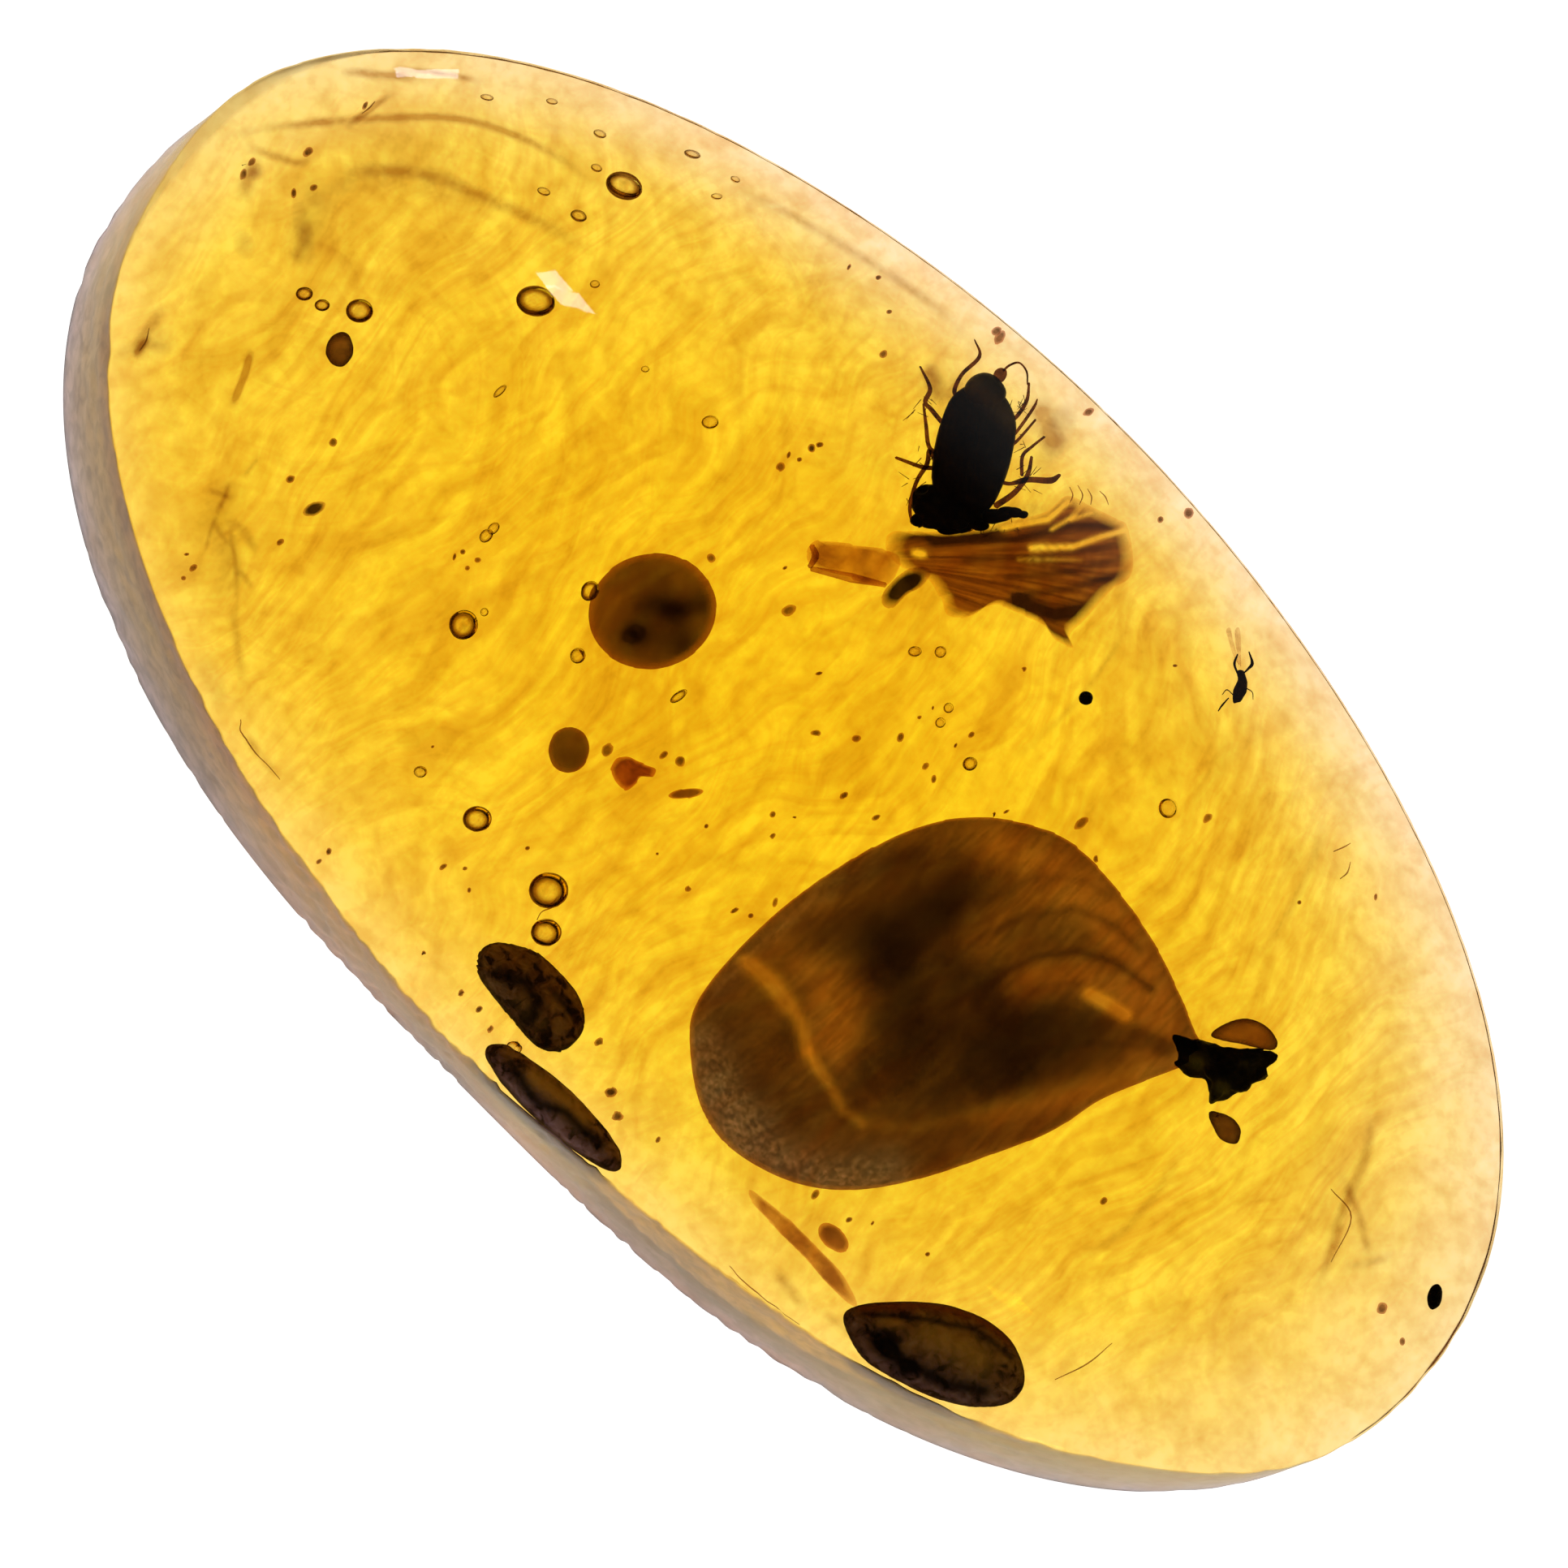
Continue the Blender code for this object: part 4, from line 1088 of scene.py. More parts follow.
def membrane_finish():
    made, nodes, links, shader = new_finish("membrane")
    shader.inputs["Roughness"].default_value = 0.2
    shader.inputs["IOR"].default_value = SHEER_IOR
    shader.inputs["Transmission Weight"].default_value = 1.0
    veins = grainy(nodes, links, 1.0, 4.0, 0.3, source=fan_place(nodes, links))
    body = ramp(nodes, links, veins, ((0.30, (0.12, 0.042, 0.03)), (0.5, (0.22, 0.088, 0.06)), (0.70, (0.34, 0.16, 0.10))))
    # Painted shade: dark strokes along the creases of the pleats.
    body = blend(nodes, links, mask(nodes, "crease_shade"), body, (0.035, 0.014, 0.03))
    body = blend(nodes, links, mask(nodes, "gaps"), body, (0.95, 0.8, 0.6))
    soft = ramp(nodes, links, mask(nodes), ((0.86, (0, 0, 0)), (1.0, (1, 1, 1))))
    body = blend(nodes, links, soft, body, (0.95, 0.8, 0.7))
    links.new(body, shader.inputs["Base Color"])
    return made


membrane_skin = membrane_finish()
membrane = bmesh.new()
cushion(membrane, MEMBRANE_OUTLINE, 1.9, 0.12, rings=30, steps=240)
paint(membrane, "gaps", MEMBRANE_GAPS, SEAM_LEVEL)
# This crease mask is painted shade along the pleats.
paint(membrane, "crease_shade", MEMBRANE_CREASE_SHADE, SEAM_LEVEL)
piece("pleated_membrane", membrane, membrane_skin, ("pleated_scrap",))

STRIP_OUTLINE = ((994, 688), (1004, 667), (1052, 671), (1104, 682), (1106, 704), (1088, 722), (1048, 712), (1010, 701))
brown_scrap = sheer("brown_scrap", (0.33, 0.15, 0.12), (0.62, 0.36, 0.25), 2.5, rim_light=(0.85, 0.65, 0.6))
strip = bmesh.new()
cushion(strip, STRIP_OUTLINE, 1.9, 0.06, rings=8, steps=80)
seen_limb(strip, ((1000, 700, 0.08), (1050, 711, 0.08), (1092, 720, 0.08)), (6, 11, 6), 1.9)
seen_limb(strip, ((1000, 672, 0.05), (1004, 686, 0.05), (998, 698, 0.05)), (6, 9, 6), 1.9)
piece("torn_strip", strip, brown_scrap, ("strip_scrap",))

SLIVER_OUTLINE = (
    (924, 1466), (942, 1478), (978, 1508), (1010, 1540), (1038, 1570), (1056, 1606), (1046, 1606), (1020, 1582),
    (996, 1554), (966, 1524), (940, 1496), (926, 1480),
)
sliver = bmesh.new()
cushion(sliver, SLIVER_OUTLINE, 1.9, 0.06, rings=8, steps=90)
piece("bark_sliver", sliver, brown_scrap, ("long_sliver",))
chip = bmesh.new()
cushion(chip, oval(845, 978, 21, 6, 6), 1.9, 0.06)
dark_scrap = sheer("dark_scrap", (0.16, 0.07, 0.07), (0.32, 0.14, 0.13), 2.5, rim_light=(0.7, 0.4, 0.3), rim_from=0.7)
piece("short_chip", chip, dark_scrap, ("short_sliver",))
red = bmesh.new()
RED_OUTLINE = (
    (752, 950), (758, 936), (772, 931), (785, 938), (797, 943), (807, 948), (803, 957), (789, 957), (782, 967), (771, 973),
    (757, 965),
)
cushion(red, RED_OUTLINE, 1.9, 0.1, uneven=0.1, grain=5.0, steps=80)
red_scrap = sheer("red_scrap", (0.16, 0.035, 0.05), (0.38, 0.11, 0.12), 4.0, rim_light=(0.7, 0.35, 0.25), rim_from=0.75)
piece("red_debris", red, red_scrap, ("red_crumb",))

# %% [markdown]
# ## Single grains
# The larger grains each have a solid of their own. They are short cushions with an uneven skin.

# %% The grains
soft_dark = sheer("soft_dark", (0.01, 0.006, 0.01), (0.07, 0.045, 0.04), 2.0, rim_light=(0.8, 0.62, 0.6), rim_from=0.6)
soft_brown = sheer("soft_brown", (0.08, 0.04, 0.05), (0.20, 0.10, 0.10), 3.0, rim_light=(0.03, 0.014, 0.02), rim_from=0.5)
GRAINS = (
    ("smear_crumb", ((1084, 742), (1092, 724), (1112, 706), (1134, 698), (1146, 706), (1136, 722), (1116, 734), (1098, 750)),
     0.18, soft_dark, "charred_black", "dark_crumb"),
    ("oval_crumb", oval(1027, 1525, 23, 13, -40), 0.12, dark_scrap, "crusted_brown", "grey_crumb"),
    ("tip_crumb", ((1490, 1371), (1512, 1374), (1528, 1390), (1524, 1408), (1506, 1406), (1496, 1392)), 0.15, soft_brown,
     "crusted_brown", "tip_grain"),
    ("amber_crumb", oval(419, 431, 21, 17, 80), 0.15, soft_brown, "crusted_brown", "brown_grain"),
    ("dot_crumb", oval(1338, 860, 9, 9), 0.1, charred, "charred_black", "black_grain"),
    ("slanted_crumb", oval(387, 627, 15, 8, 25), 0.09, soft_dark, "charred_black", "long_grain"),
    ("rim_crumb", oval(1768, 1598, 9, 16, -12), 0.1, charred, "charred_black", "rim_grain"),
)
for name, points, half_height, finish, slot, node in GRAINS:
    crumb = bmesh.new()
    cushion(crumb, points, 1.9, half_height, uneven=0.08, grain=6.0, rings=10, steps=48, seed=len(name))
    piece(name, crumb, finish, (node,))

# %% [markdown]
# ## The beetle
# The beetle shows its smooth black back. Its wing cases are one long oval with fine grooves, and its chest and
# head are at the upper end, with a painted reflection across the chest. The legs are thin, bent tubes with a thick
# upper joint and a thin lower one.
# A loose crust of wood dust hides its hind end, and fine hairs stand off it.

# %% The beetle
BEETLE_LEVEL = 1.95
WING_CASES = (
    (1204, 470), (1224, 476), (1242, 494), (1252, 522), (1248, 556), (1238, 592), (1222, 624), (1198, 640),
    (1168, 634), (1150, 604), (1149, 566), (1158, 524), (1174, 488),
)
CHEST = ((1188, 478), (1198, 464), (1214, 459), (1230, 466), (1240, 484), (1230, 502), (1208, 506), (1190, 496))
HEAD = ((1224, 466), (1226, 457), (1233, 453), (1240, 456), (1240, 464), (1234, 471))
DUST_CLUMPS = (
    (((1126, 622), (1134, 604), (1160, 596), (1196, 604), (1214, 622), (1206, 642), (1186, 652), (1150, 650), (1130, 640)), 0.30),
    (oval(1226, 636, 26, 9, 4), 0.14), (oval(1246, 631, 15, 7, -8), 0.1), (oval(1132, 640, 10, 10), 0.14),
    (oval(1178, 650, 20, 8, 6), 0.12), (oval(1204, 646, 14, 8, -10), 0.12), (oval(1260, 634, 7, 5, 0), 0.08),
)
LEGS = (
    (((1190, 492, -0.1), (1176, 484, 0), (1185, 462, 0.05), (1207, 439, 0.05), (1201, 419, 0)), (7, 6, 5, 5, 2)),
    (((1160, 520, -0.1), (1148, 505, 0), (1140, 495, 0), (1146, 478, 0), (1134, 452, 0)), (7, 7, 6, 6, 3)),
    (((1165, 560, -0.1), (1146, 552, 0), (1141, 524, 0), (1138, 498, 0)), (7, 6, 5, 3)),
    (((1160, 580, -0.1), (1149, 577, 0), (1135, 575, 0), (1104, 564, 0)), (7, 6, 6, 4)),
    (((1160, 590, -0.1), (1146, 556, 0), (1142, 572, 0.02), (1129, 594, 0.02), (1121, 624, 0), (1124, 644, 0)),
     (6, 6, 6, 5, 5, 3)),
    (((1240, 520, -0.1), (1252, 514, 0), (1265, 494, 0), (1268, 472, 0)), (6, 5, 5, 3)),
    (((1240, 540, -0.1), (1251, 534, 0), (1273, 503, 0), (1278, 492, 0)), (5, 4, 4, 2)),
    (((1244, 550, -0.1), (1254, 542, 0), (1276, 517, 0)), (5, 4, 3)),
    (((1259, 586, 0), (1260, 562, 0), (1272, 550, 0), (1287, 538, 0)), (5, 5, 4, 3)),
    (((1226, 624, -0.05), (1250, 607, 0), (1266, 585, 0), (1271, 563, 0)), (8, 7, 6, 4)),
    (((1234, 594, -0.1), (1246, 596, 0), (1266, 591, 0), (1294, 592, 0), (1306, 585, 0)), (6, 5, 8, 9, 4)),
    (((1236, 457, 0), (1244, 450, 0.03), (1256, 447, 0.03), (1265, 458, 0.03), (1266, 474, 0)), (3, 3, 3, 3, 2)),
)
HAIR_ROOTS = ((1138, 500), (1146, 560), (1128, 600), (1252, 500), (1256, 545), (1262, 590), (1200, 650), (1240, 640))
HAIRS_AT_EACH = 9


def grooved(bm, first, spacing, depth):
    """Fine grooves along the body, cut into the points of the wing cases."""
    heading = (seen_at(1204, 470) - seen_at(1180, 640)).normalized()
    aside = heading.cross(Vector((0, 0, 1)))
    for corner in list(bm.verts)[first:]:
        ridge = abs(math.sin(math.pi * corner.co.dot(aside) / spacing))
        if corner.co.z > BEETLE_LEVEL:
            corner.co.z -= depth * (1 - ridge) ** 3


def shell_finish():
    made, nodes, links, shader = new_finish("black_shell")
    shader.inputs["Roughness"].default_value = 0.4
    shader.inputs["Specular IOR Level"].default_value = GLOSS_INSIDE
    cloud = grainy(nodes, links, 3.0, 5.0)
    body = ramp(nodes, links, cloud, ((0.35, (0.003, 0.002, 0.0015)), (0.7, (0.012, 0.008, 0.006))))
    # Painted reflection: a lighter, bluish wedge over the chest stands in for light mirrored by the shell.
    body = blend(nodes, links, mask(nodes, "painted_reflection"), body, (0.10, 0.085, 0.12))
    links.new(body, shader.inputs["Base Color"])
    bumpy(nodes, links, shader, grainy(nodes, links, 14.0), 0.4)
    return made


beetle = bmesh.new()
cushion(beetle, WING_CASES, BEETLE_LEVEL, 0.42, rings=20, steps=120)
grooved(beetle, 0, 0.12, 0.03)
cushion(beetle, CHEST, BEETLE_LEVEL + 0.04, 0.34, rings=12)
for index, (clump, half_height) in enumerate(DUST_CLUMPS):
    cushion(beetle, clump, BEETLE_LEVEL - 0.02, half_height, uneven=0.22, grain=5.0, rings=10, steps=70, seed=3.0 * index)
legs = bmesh.new()
cushion(legs, HEAD, BEETLE_LEVEL, 0.16, rings=8, steps=40)
for joints, widths in LEGS:
    seen_limb(legs, joints, widths, BEETLE_LEVEL)
for root_x, root_y in HAIR_ROOTS:
    for _ in range(HAIRS_AT_EACH):
        x, y = root_x + chance.uniform(-14, 14), root_y + chance.uniform(-14, 14)
        bend_x, bend_y = chance.uniform(-14, 14), chance.uniform(-14, 14)
        seen_limb(legs, ((x, y, 0), (x + bend_x, y + bend_y, 0.02)), (1.2, 0.6), BEETLE_LEVEL, sides=4)
# The mask for the painted reflection: a lighter wedge across the chest, where light would be mirrored.
paint(beetle, "painted_reflection", ((((1196, 468), (1222, 492), (1246, 516)), 17, 1.0),), BEETLE_LEVEL)
black_shell = shell_finish()
piece("black_beetle", beetle, black_shell, ("beetle",))
leg_brown = sheer("leg_brown", (0.03, 0.012, 0.01), (0.16, 0.06, 0.03), 5.0)
piece("beetle_legs", legs, leg_brown)

# %% [markdown]
# ## The midge
# The midge is tiny: a bent body, two pale wings folded back, and legs as fine as hair.

# %% The midge
MIDGE_LEVEL = 1.9
MIDGE_BODY = ((1520, 866), (1519, 852), (1525, 838), (1524, 828), (1530, 826), (1534, 828), (1537, 843), (1536, 852), (1529, 863))
MIDGE_LIMBS = (
    (((1525, 830, 0), (1521, 818, 0), (1525, 806, 0)), (3, 4, 2)),
    (((1533, 829, 0), (1538, 824, 0), (1543, 817, 0), (1539, 803, 0)), (2, 3, 5, 2)),
    (((1501, 876, 0), (1506, 869, 0), (1514, 860, 0)), (1.5, 2.5, 1.5)),
    (((1521, 858, 0), (1512, 850, 0), (1506, 856, 0)), (1.5, 1.5, 1)),
    (((1536, 848, 0), (1543, 853, 0), (1544, 862, 0)), (1.5, 1.5, 1)),
)
MIDGE_WINGS = (((1513, 786), (1511, 776), (1516, 774), (1519, 788), (1524, 806), (1527, 820), (1519, 806)),
               ((1522, 790), (1522, 776), (1527, 774), (1529, 790), (1529, 808), (1529, 822), (1525, 808)))
midge = bmesh.new()
cushion(midge, MIDGE_BODY, MIDGE_LEVEL, 0.09, uneven=0.1, grain=8.0, rings=8, steps=40)
for joints, widths in MIDGE_LIMBS:
    seen_limb(midge, joints, widths, MIDGE_LEVEL, sides=6)
midge_shell = dense("midge_shell", (0.012, 0.005, 0.004), (0.05, 0.015, 0.008), 8.0)
piece("tiny_midge", midge, midge_shell, ("midge",))
wings = bmesh.new()
for wing in MIDGE_WINGS:
    cushion(wings, wing, MIDGE_LEVEL + 0.08, 0.01, rings=4, steps=40)
wing_film = sheer("wing_film", (0.7, 0.55, 0.5), (0.92, 0.82, 0.8), 6.0)
piece("midge_wings", wings, wing_film)

# %% [markdown]
# ## The dark rings of the bubbles
# A bubble's wall mirrors all light that meets it at a slant, so a ring of it stays dark when light comes from
# below only. Here the pale room lights that ring too, so each bubble gets painted shade: a thin sheer skin that
# is clear in the middle and brown at its rim. It is the same cushion as before, a little larger than the bubble.

# %% Ring the bubbles
SKIN_OVER_BUBBLE = 1.06


def ring_finish():
    made, nodes, links, shader = new_finish("bubble_ring_shade")
    shader.inputs["Roughness"].default_value = 0.0
    shader.inputs["IOR"].default_value = 1.0
    shader.inputs["Transmission Weight"].default_value = 1.0
    # Painted shade: the brown and dark tints at the rim stand in for the light that the bubble's wall mirrors away.
    clear, brown, dark = (1.0, 0.93, 0.85), (0.42, 0.24, 0.13), (0.14, 0.07, 0.04)
    tint = ramp(nodes, links, mask(nodes), ((0.5, clear), (0.74, brown), (0.88, dark), (0.95, dark), (1.0, brown)))
    grain = ramp(nodes, links, grainy(nodes, links, 6.0), ((0.3, (0.75, 0.75, 0.75)), (0.6, (1, 1, 1))))
    tint = blend(nodes, links, 1.0, tint, grain, "MULTIPLY")
    links.new(blend(nodes, links, mask(nodes, "force"), clear, tint), shader.inputs["Base Color"])
    return made


rings = bmesh.new()
force = rings.verts.layers.float.new("force")
for (point_x, point_y, half_x, half_y, slant), middle in zip(BIG_BUBBLES, bubble_middles):
    wide, high = half_x * SKIN_OVER_BUBBLE, half_y * SKIN_OVER_BUBBLE
    before = len(rings.verts)
    cushion(rings, oval(point_x, point_y, wide, high, slant, 12), middle.z, min(wide, high) * POINT * BUBBLE_FLATNESS, rings=8, steps=28)
    rings.verts.ensure_lookup_table()
    for corner in rings.verts[before:]:
        corner[force] = ring_strength(point_x, point_y, half_x)
piece("bubble_ring_shades", rings, ring_finish())

# %% [markdown]
# ## Flow lines and stains
# Where two flows of resin met, a brown line or a cloud is left. These are thin, open sheets with a mask that
# fades at their edges, so they have no hard outline. They only tint what is behind them.

# %% Lay the flow lines and stains
FLOW_LINES = (
    (((260, 172), (330, 158), (418, 149), (490, 145), (560, 146), (625, 163), (690, 195), (740, 235)), 4, 0.9),
    (((401, 221), (440, 212), (481, 210), (520, 215), (560, 227), (640, 262), (690, 288), (740, 315)), 6, 0.8),
    (((400, 226), (470, 217), (540, 226), (620, 262)), 14, 0.4),
    (((418, 88), (440, 89), (460, 92), (490, 94), (527, 98)), 4, 1.0),
    (((480, 84), (540, 90), (600, 102)), 3, 0.8),
    (((425, 162), (440, 146), (455, 136), (465, 128), (490, 112)), 3, 1.0),
    (((905, 232), (950, 252), (1000, 280), (1080, 328), (1150, 376), (1195, 418)), 5, 0.6),
    (((300, 180), (330, 190), (365, 200), (390, 195)), 4, 0.7),
    (((300, 250), (304, 225), (312, 205), (309, 192)), 6, 0.9),
    (((392, 215), (388, 250), (375, 290), (362, 330)), 12, 0.6),
    (((360, 330), (372, 300), (384, 270)), 5, 0.7),
    (((174, 445), (172, 425), (190, 395), (205, 375)), 5, 0.8),
    (((140, 440), (175, 425), (215, 432)), 5, 0.6),
    (((1272, 490), (1286, 512), (1296, 540), (1310, 565)), 12, 0.9),
    (((1140, 448), (1150, 466), (1160, 500)), 9, 0.7), (((1168, 500), (1176, 480), (1186, 462)), 7, 0.6),
    (((310, 430), (301, 462), (284, 506)), 3.0, 2.0), (((164, 442), (174, 427), (186, 413)), 3, 1.1),
    (((254, 604), (270, 608), (288, 616)), 2.5, 0.8), (((282, 590), (277, 612), (266, 634)), 2.5, 0.8),
    (((283, 640), (286, 670), (291, 705), (292, 765)), 2.5, 0.6), (((270, 630), (260, 652), (252, 685)), 2, 0.5),
    (((262, 640), (272, 658), (286, 676)), 2.5, 0.5), (((300, 590), (310, 574), (322, 562)), 2.5, 0.5),
    (((290, 700), (302, 712), (314, 728)), 3, 0.6),
    (((250, 620), (275, 660), (284, 700), (280, 740)), 10, 0.5),
    (((275, 640), (300, 655), (320, 690)), 4, 0.6),
    (((285, 740), (292, 790), (300, 850)), 4, 0.5),
    (((300, 900), (320, 930), (345, 960)), 4, 0.6),
    (((246, 800), (262, 840), (280, 880)), 8, 0.4),
    (((1690, 1350), (1684, 1420), (1655, 1490), (1640, 1545), (1618, 1600)), 5, 0.8),
    (((1650, 1440), (1675, 1500), (1690, 1560)), 4, 0.7),
    (((1655, 1560), (1688, 1556), (1722, 1542)), 4, 0.5),
    (((952, 1562), (972, 1588), (996, 1616)), 5, 0.7),
    (((1000, 1608), (1050, 1642), (1110, 1676)), 4, 0.4),
    (((1320, 1560), (1400, 1500), (1470, 1400)), 5, 0.4),
    (((1540, 1200), (1600, 1100), (1640, 1000)), 4, 0.35), (((1245, 940), (1330, 860), (1400, 760)), 3, 0.4),
)
STAINS = (
    (oval(1163, 478, 34, 46, 20), 0.5), (oval(1300, 540, 22, 55, -24), 0.9), (oval(1243, 634, 60, 18, 8), 0.8),
    (oval(1150, 470, 14, 30, 15), 0.7), (oval(270, 690, 60, 80, 0), 0.25), (oval(400, 300, 50, 90, 20), 0.25),
    (oval(500, 180, 110, 40, -10), 0.2), (oval(1660, 1480, 50, 110, 15), 0.2), (oval(1050, 360, 120, 60, -35), 0.22),
    (oval(1060, 560, 70, 50, 0), 0.2), (oval(560, 930, 60, 40, 0), 0.15), (oval(640, 760, 40, 30, 20), 0.15),
    (oval(1320, 1000, 60, 40, 0), 0.15), (oval(1500, 900, 50, 90, 30), 0.15), (oval(190, 420, 34, 26, 20), 0.5),
    (oval(312, 212, 17, 12, 10), 1.0), (oval(300, 300, 14, 22, 20), 0.7), (oval(374, 285, 13, 46, 12), 0.7),
    (oval(277, 610, 30, 26, 20), 0.5), (oval(420, 230, 26, 12, 10), 0.5),
)
lines = bmesh.new()
for index, (points, half_width, strength) in enumerate(FLOW_LINES):
    soft_ribbon(lines, points, 2.4 * half_width, SEAM_LEVEL + 0.3 + 0.02 * index, 1.4 * strength)
put_lines = film("flow_line", (0.42, 0.24, 0.15))
piece("flow_lines", lines, put_lines)
stains = bmesh.new()
for index, (points, strength) in enumerate(STAINS):
    soft_patch(stains, points, SEAM_LEVEL - 0.3 - 0.02 * index, strength, seed=index)
piece("stains", stains, film("stain", (0.40, 0.24, 0.3), 2.0))

# %% [markdown]
# ## Specks, small bubbles and hairs
# Amber is full of tiny things. They are all made in one go as small uneven cushions and hair-thin limbs.

# %% Scatter the small things
DARK_SPECKS = (
    (1005, 903, 7), (1055, 910, 6), (1110, 908, 5), (1040, 980, 6), (953, 1003, 4), (952, 1030, 4), (979, 1007, 3),
    (1080, 1007, 5), (1332, 1014, 10), (1262, 824, 4), (955, 1112, 6), (848, 1095, 4), (905, 1122, 5),
    (925, 1128, 4), (1601, 1112, 3), (1695, 1105, 4), (876, 688, 6), (410, 545, 6), (358, 590, 7), (230, 683, 4),
    (345, 668, 6), (967, 700, 3), (1009, 830, 4), (393, 1061, 4), (405, 1049, 4), (546, 1068, 5), (573, 1070, 4),
    (578, 1097, 4), (522, 1175, 3), (1360, 1480, 5), (1488, 1008, 6), (380, 187, 9), (362, 238, 7), (387, 231, 6),
    (1703, 1612, 8), (1728, 1653, 5), (1140, 944, 6), (1151, 960, 5), (870, 1018, 3), (568, 1224, 6), (590, 1244, 6),
    (604, 1268, 5), (738, 1284, 6), (753, 1346, 8), (760, 1375, 7), (811, 1404, 5), (1005, 1472, 6), (810, 1052, 3),
    (1046, 1503, 5), (1075, 1507, 4), (1143, 1545, 4), (238, 700, 5), (226, 712, 4), (1088, 436, 5), (1096, 384, 4),
    (1046, 329, 4), (1082, 342, 4), (1000, 552, 5), (972, 560, 4), (962, 575, 6), (985, 566, 4), (1010, 548, 4),
    (560, 686, 4), (570, 680, 4), (588, 690, 5), (576, 700, 4), (1133, 884, 3), (1150, 872, 3), (1178, 918, 3),
    (1197, 905, 4), (748, 924, 8), (838, 938, 9), (818, 930, 5), (972, 752, 11), (300, 215, 7), (310, 200, 6),
    (450, 130, 5), (650, 1045, 3), (533, 920, 2), (1350, 1058, 4), (1500, 1375, 3), (1430, 640, 4),
    (1465, 632, 7), (1448, 820, 3), (1240, 1000, 4), (1225, 1004, 3), (1232, 416, 9), (1228, 408, 6), (1341, 508, 6),
)
HAIRS = (
    ((462, 125), (455, 133), (446, 140)), ((172, 432), (180, 420), (184, 404)),
    ((1643, 1049), (1655, 1044), (1664, 1039)), ((1651, 1083), (1660, 1075), (1664, 1062)), ((662, 1134), (668, 1124), (680, 1118), (690, 1108)),
    ((1640, 1465), (1665, 1500), (1640, 1555)),
    ((268, 900), (300, 905), (345, 960)), ((900, 1560), (930, 1590), (985, 1632)), 
    ((1300, 1700), (1340, 1680), (1370, 1655)), ((1355, 605), (1362, 612), (1366, 622)), ((1340, 602), (1345, 612), (1344, 622)),
    ((1318, 600), (1322, 610), (1318, 620)), ((1328, 598), (1334, 610), (1330, 622)),
)
specks = bmesh.new()
for point_x, point_y, half in DARK_SPECKS:
    level = seen_within(point_x, point_y, 0.5).z
    stretched = oval(point_x, point_y, half * chance.uniform(0.8, 1.2), half * chance.uniform(0.5, 0.9), chance.uniform(0, 90))
    cushion(specks, stretched, level, half * POINT * 0.5, uneven=0.3, grain=9.0, rings=4, steps=14, seed=point_x)
for line in HAIRS:
    level = seen_within(*line[0], 0.45).z
    seen_limb(specks, [(x, y, 0) for x, y in line], (1.2, 2.2, 1.0), level, sides=5)
speck_brown = sheer("speck_brown", (0.08, 0.045, 0.04), (0.34, 0.2, 0.15), 3.0, rim_light=(0.7, 0.45, 0.4), rim_from=0.5)
piece("specks_and_hairs", specks, speck_brown)

# %% [markdown]
# ## The light table

# %% Set out the light
FLOOR_HALF = 300.0
FLOOR_GAP = 0.03
TABLE_GLOW = 1.15
GLOW_REACH = (20.0, 160.0)


def floor_finish():
    made, nodes, links, shader = new_finish("light_table")
    shader.inputs["Base Color"].default_value = (0.8, 0.8, 0.8, 1)
    shader.inputs["Roughness"].default_value = 0.6
    place = nodes.new("ShaderNodeTexCoord")
    reach = nodes.new("ShaderNodeVectorMath")
    reach.operation = "LENGTH"
    links.new(place.outputs["Object"], reach.inputs[0])
    fade = nodes.new("ShaderNodeMapRange")
    fade.interpolation_type = "SMOOTHSTEP"
    fade.inputs["From Min"].default_value = GLOW_REACH[0] * MM
    fade.inputs["From Max"].default_value = GLOW_REACH[1] * MM
    fade.inputs["To Min"].default_value = TABLE_GLOW
    fade.inputs["To Max"].default_value = 0.15
    links.new(reach.outputs["Value"], fade.inputs["Value"])
    shader.inputs["Emission Color"].default_value = (1, 1, 1, 1)
    links.new(fade.outputs[0], shader.inputs["Emission Strength"])
    return made


bpy.ops.mesh.primitive_plane_add(size=2 * FLOOR_HALF * MM, location=(0, 0, -FLOOR_GAP * MM))
floor = bpy.context.object
floor.name = "light_table"
floor.data.materials.append(floor_finish())

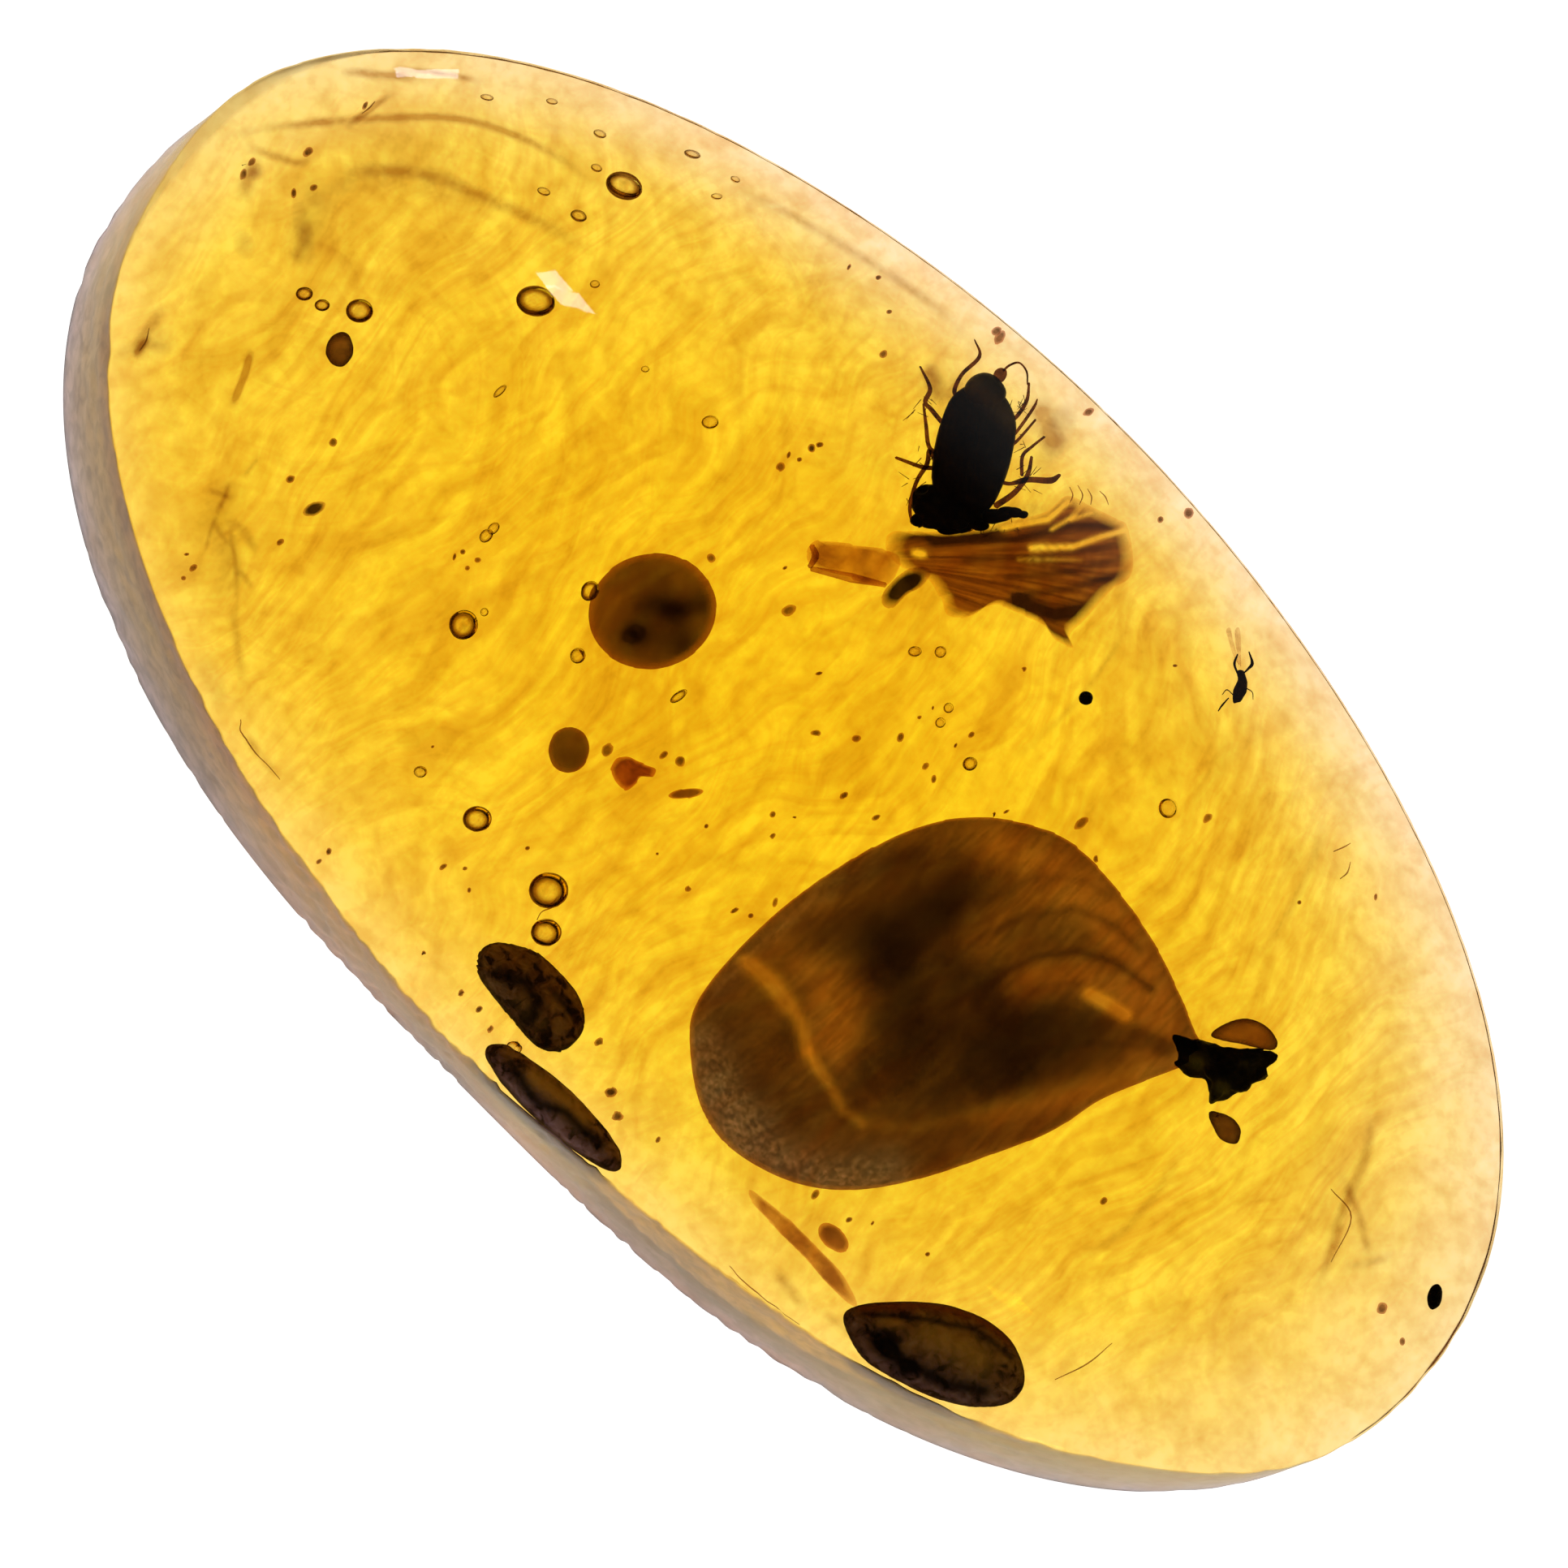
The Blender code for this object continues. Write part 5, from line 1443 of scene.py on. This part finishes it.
scene = bpy.context.scene
scene.view_settings.view_transform = "Standard"
world = bpy.data.worlds.new("studio")
scene.world = world
world.use_nodes = True
sky = world.node_tree.nodes
heading = sky.new("ShaderNodeTexCoord")
height = sky.new("ShaderNodeSeparateXYZ")
world.node_tree.links.new(heading.outputs["Generated"], height.inputs[0])
shade = sky.new("ShaderNodeMapRange")
shade.interpolation_type = "SMOOTHSTEP"
shade.inputs["From Min"].default_value = 0.0
shade.inputs["From Max"].default_value = 0.36
shade.inputs["To Min"].default_value = 0.4
shade.inputs["To Max"].default_value = 0.008
world.node_tree.links.new(height.outputs["Z"], shade.inputs["Value"])
world.node_tree.links.new(shade.outputs[0], sky["Background"].inputs["Color"])
world.node_tree.nodes["Background"].inputs["Strength"].default_value = 1.0


# %% [markdown]
# ## A small window
# A polished dome mirrors the lamps above it. Two narrow panes of light, far away, leave one small bright
# highlight near the broad end. To find where they hang, a ray of sight is mirrored at the place of the highlight.

# %% Hang the panes
HIGHLIGHTS = ((680, 342, 8.5, 2.6, 40), (704, 368, 10.0, 3.0, 36))
PANES_AWAY = 150.0
PANE_GLOW = 7.0


def mirrored(point_x, point_y):
    """Where a ray of sight leaves the dome, and its direction once it is mirrored there."""
    entry, _, _ = ray_inside(point_x, point_y)
    ray = (entry - eye).normalized()
    _, normal, _, _ = skin_tree.find_nearest(entry)
    return entry, ray - 2 * ray.dot(normal) * normal


for index, (point_x, point_y, wide, high, turn) in enumerate(HIGHLIGHTS):
    entry, away = mirrored(point_x, point_y)
    pane = bpy.data.lights.new(f"pane_{index}", "AREA")
    pane.shape = "RECTANGLE"
    pane.size, pane.size_y = wide * MM, high * MM
    pane.energy = PANE_GLOW * math.pi * pane.size * pane.size_y
    pane.color = (0.8, 0.85, 1.0)
    hung = bpy.data.objects.new(pane.name, pane)
    hung.location = (entry + away * PANES_AWAY) * MM
    hung.rotation_euler = (away.to_track_quat("Z", "Y").to_matrix() @ Matrix.Rotation(math.radians(turn), 3, "Z")).to_euler()
    scene.collection.objects.link(hung)
print("panes", len(HIGHLIGHTS))
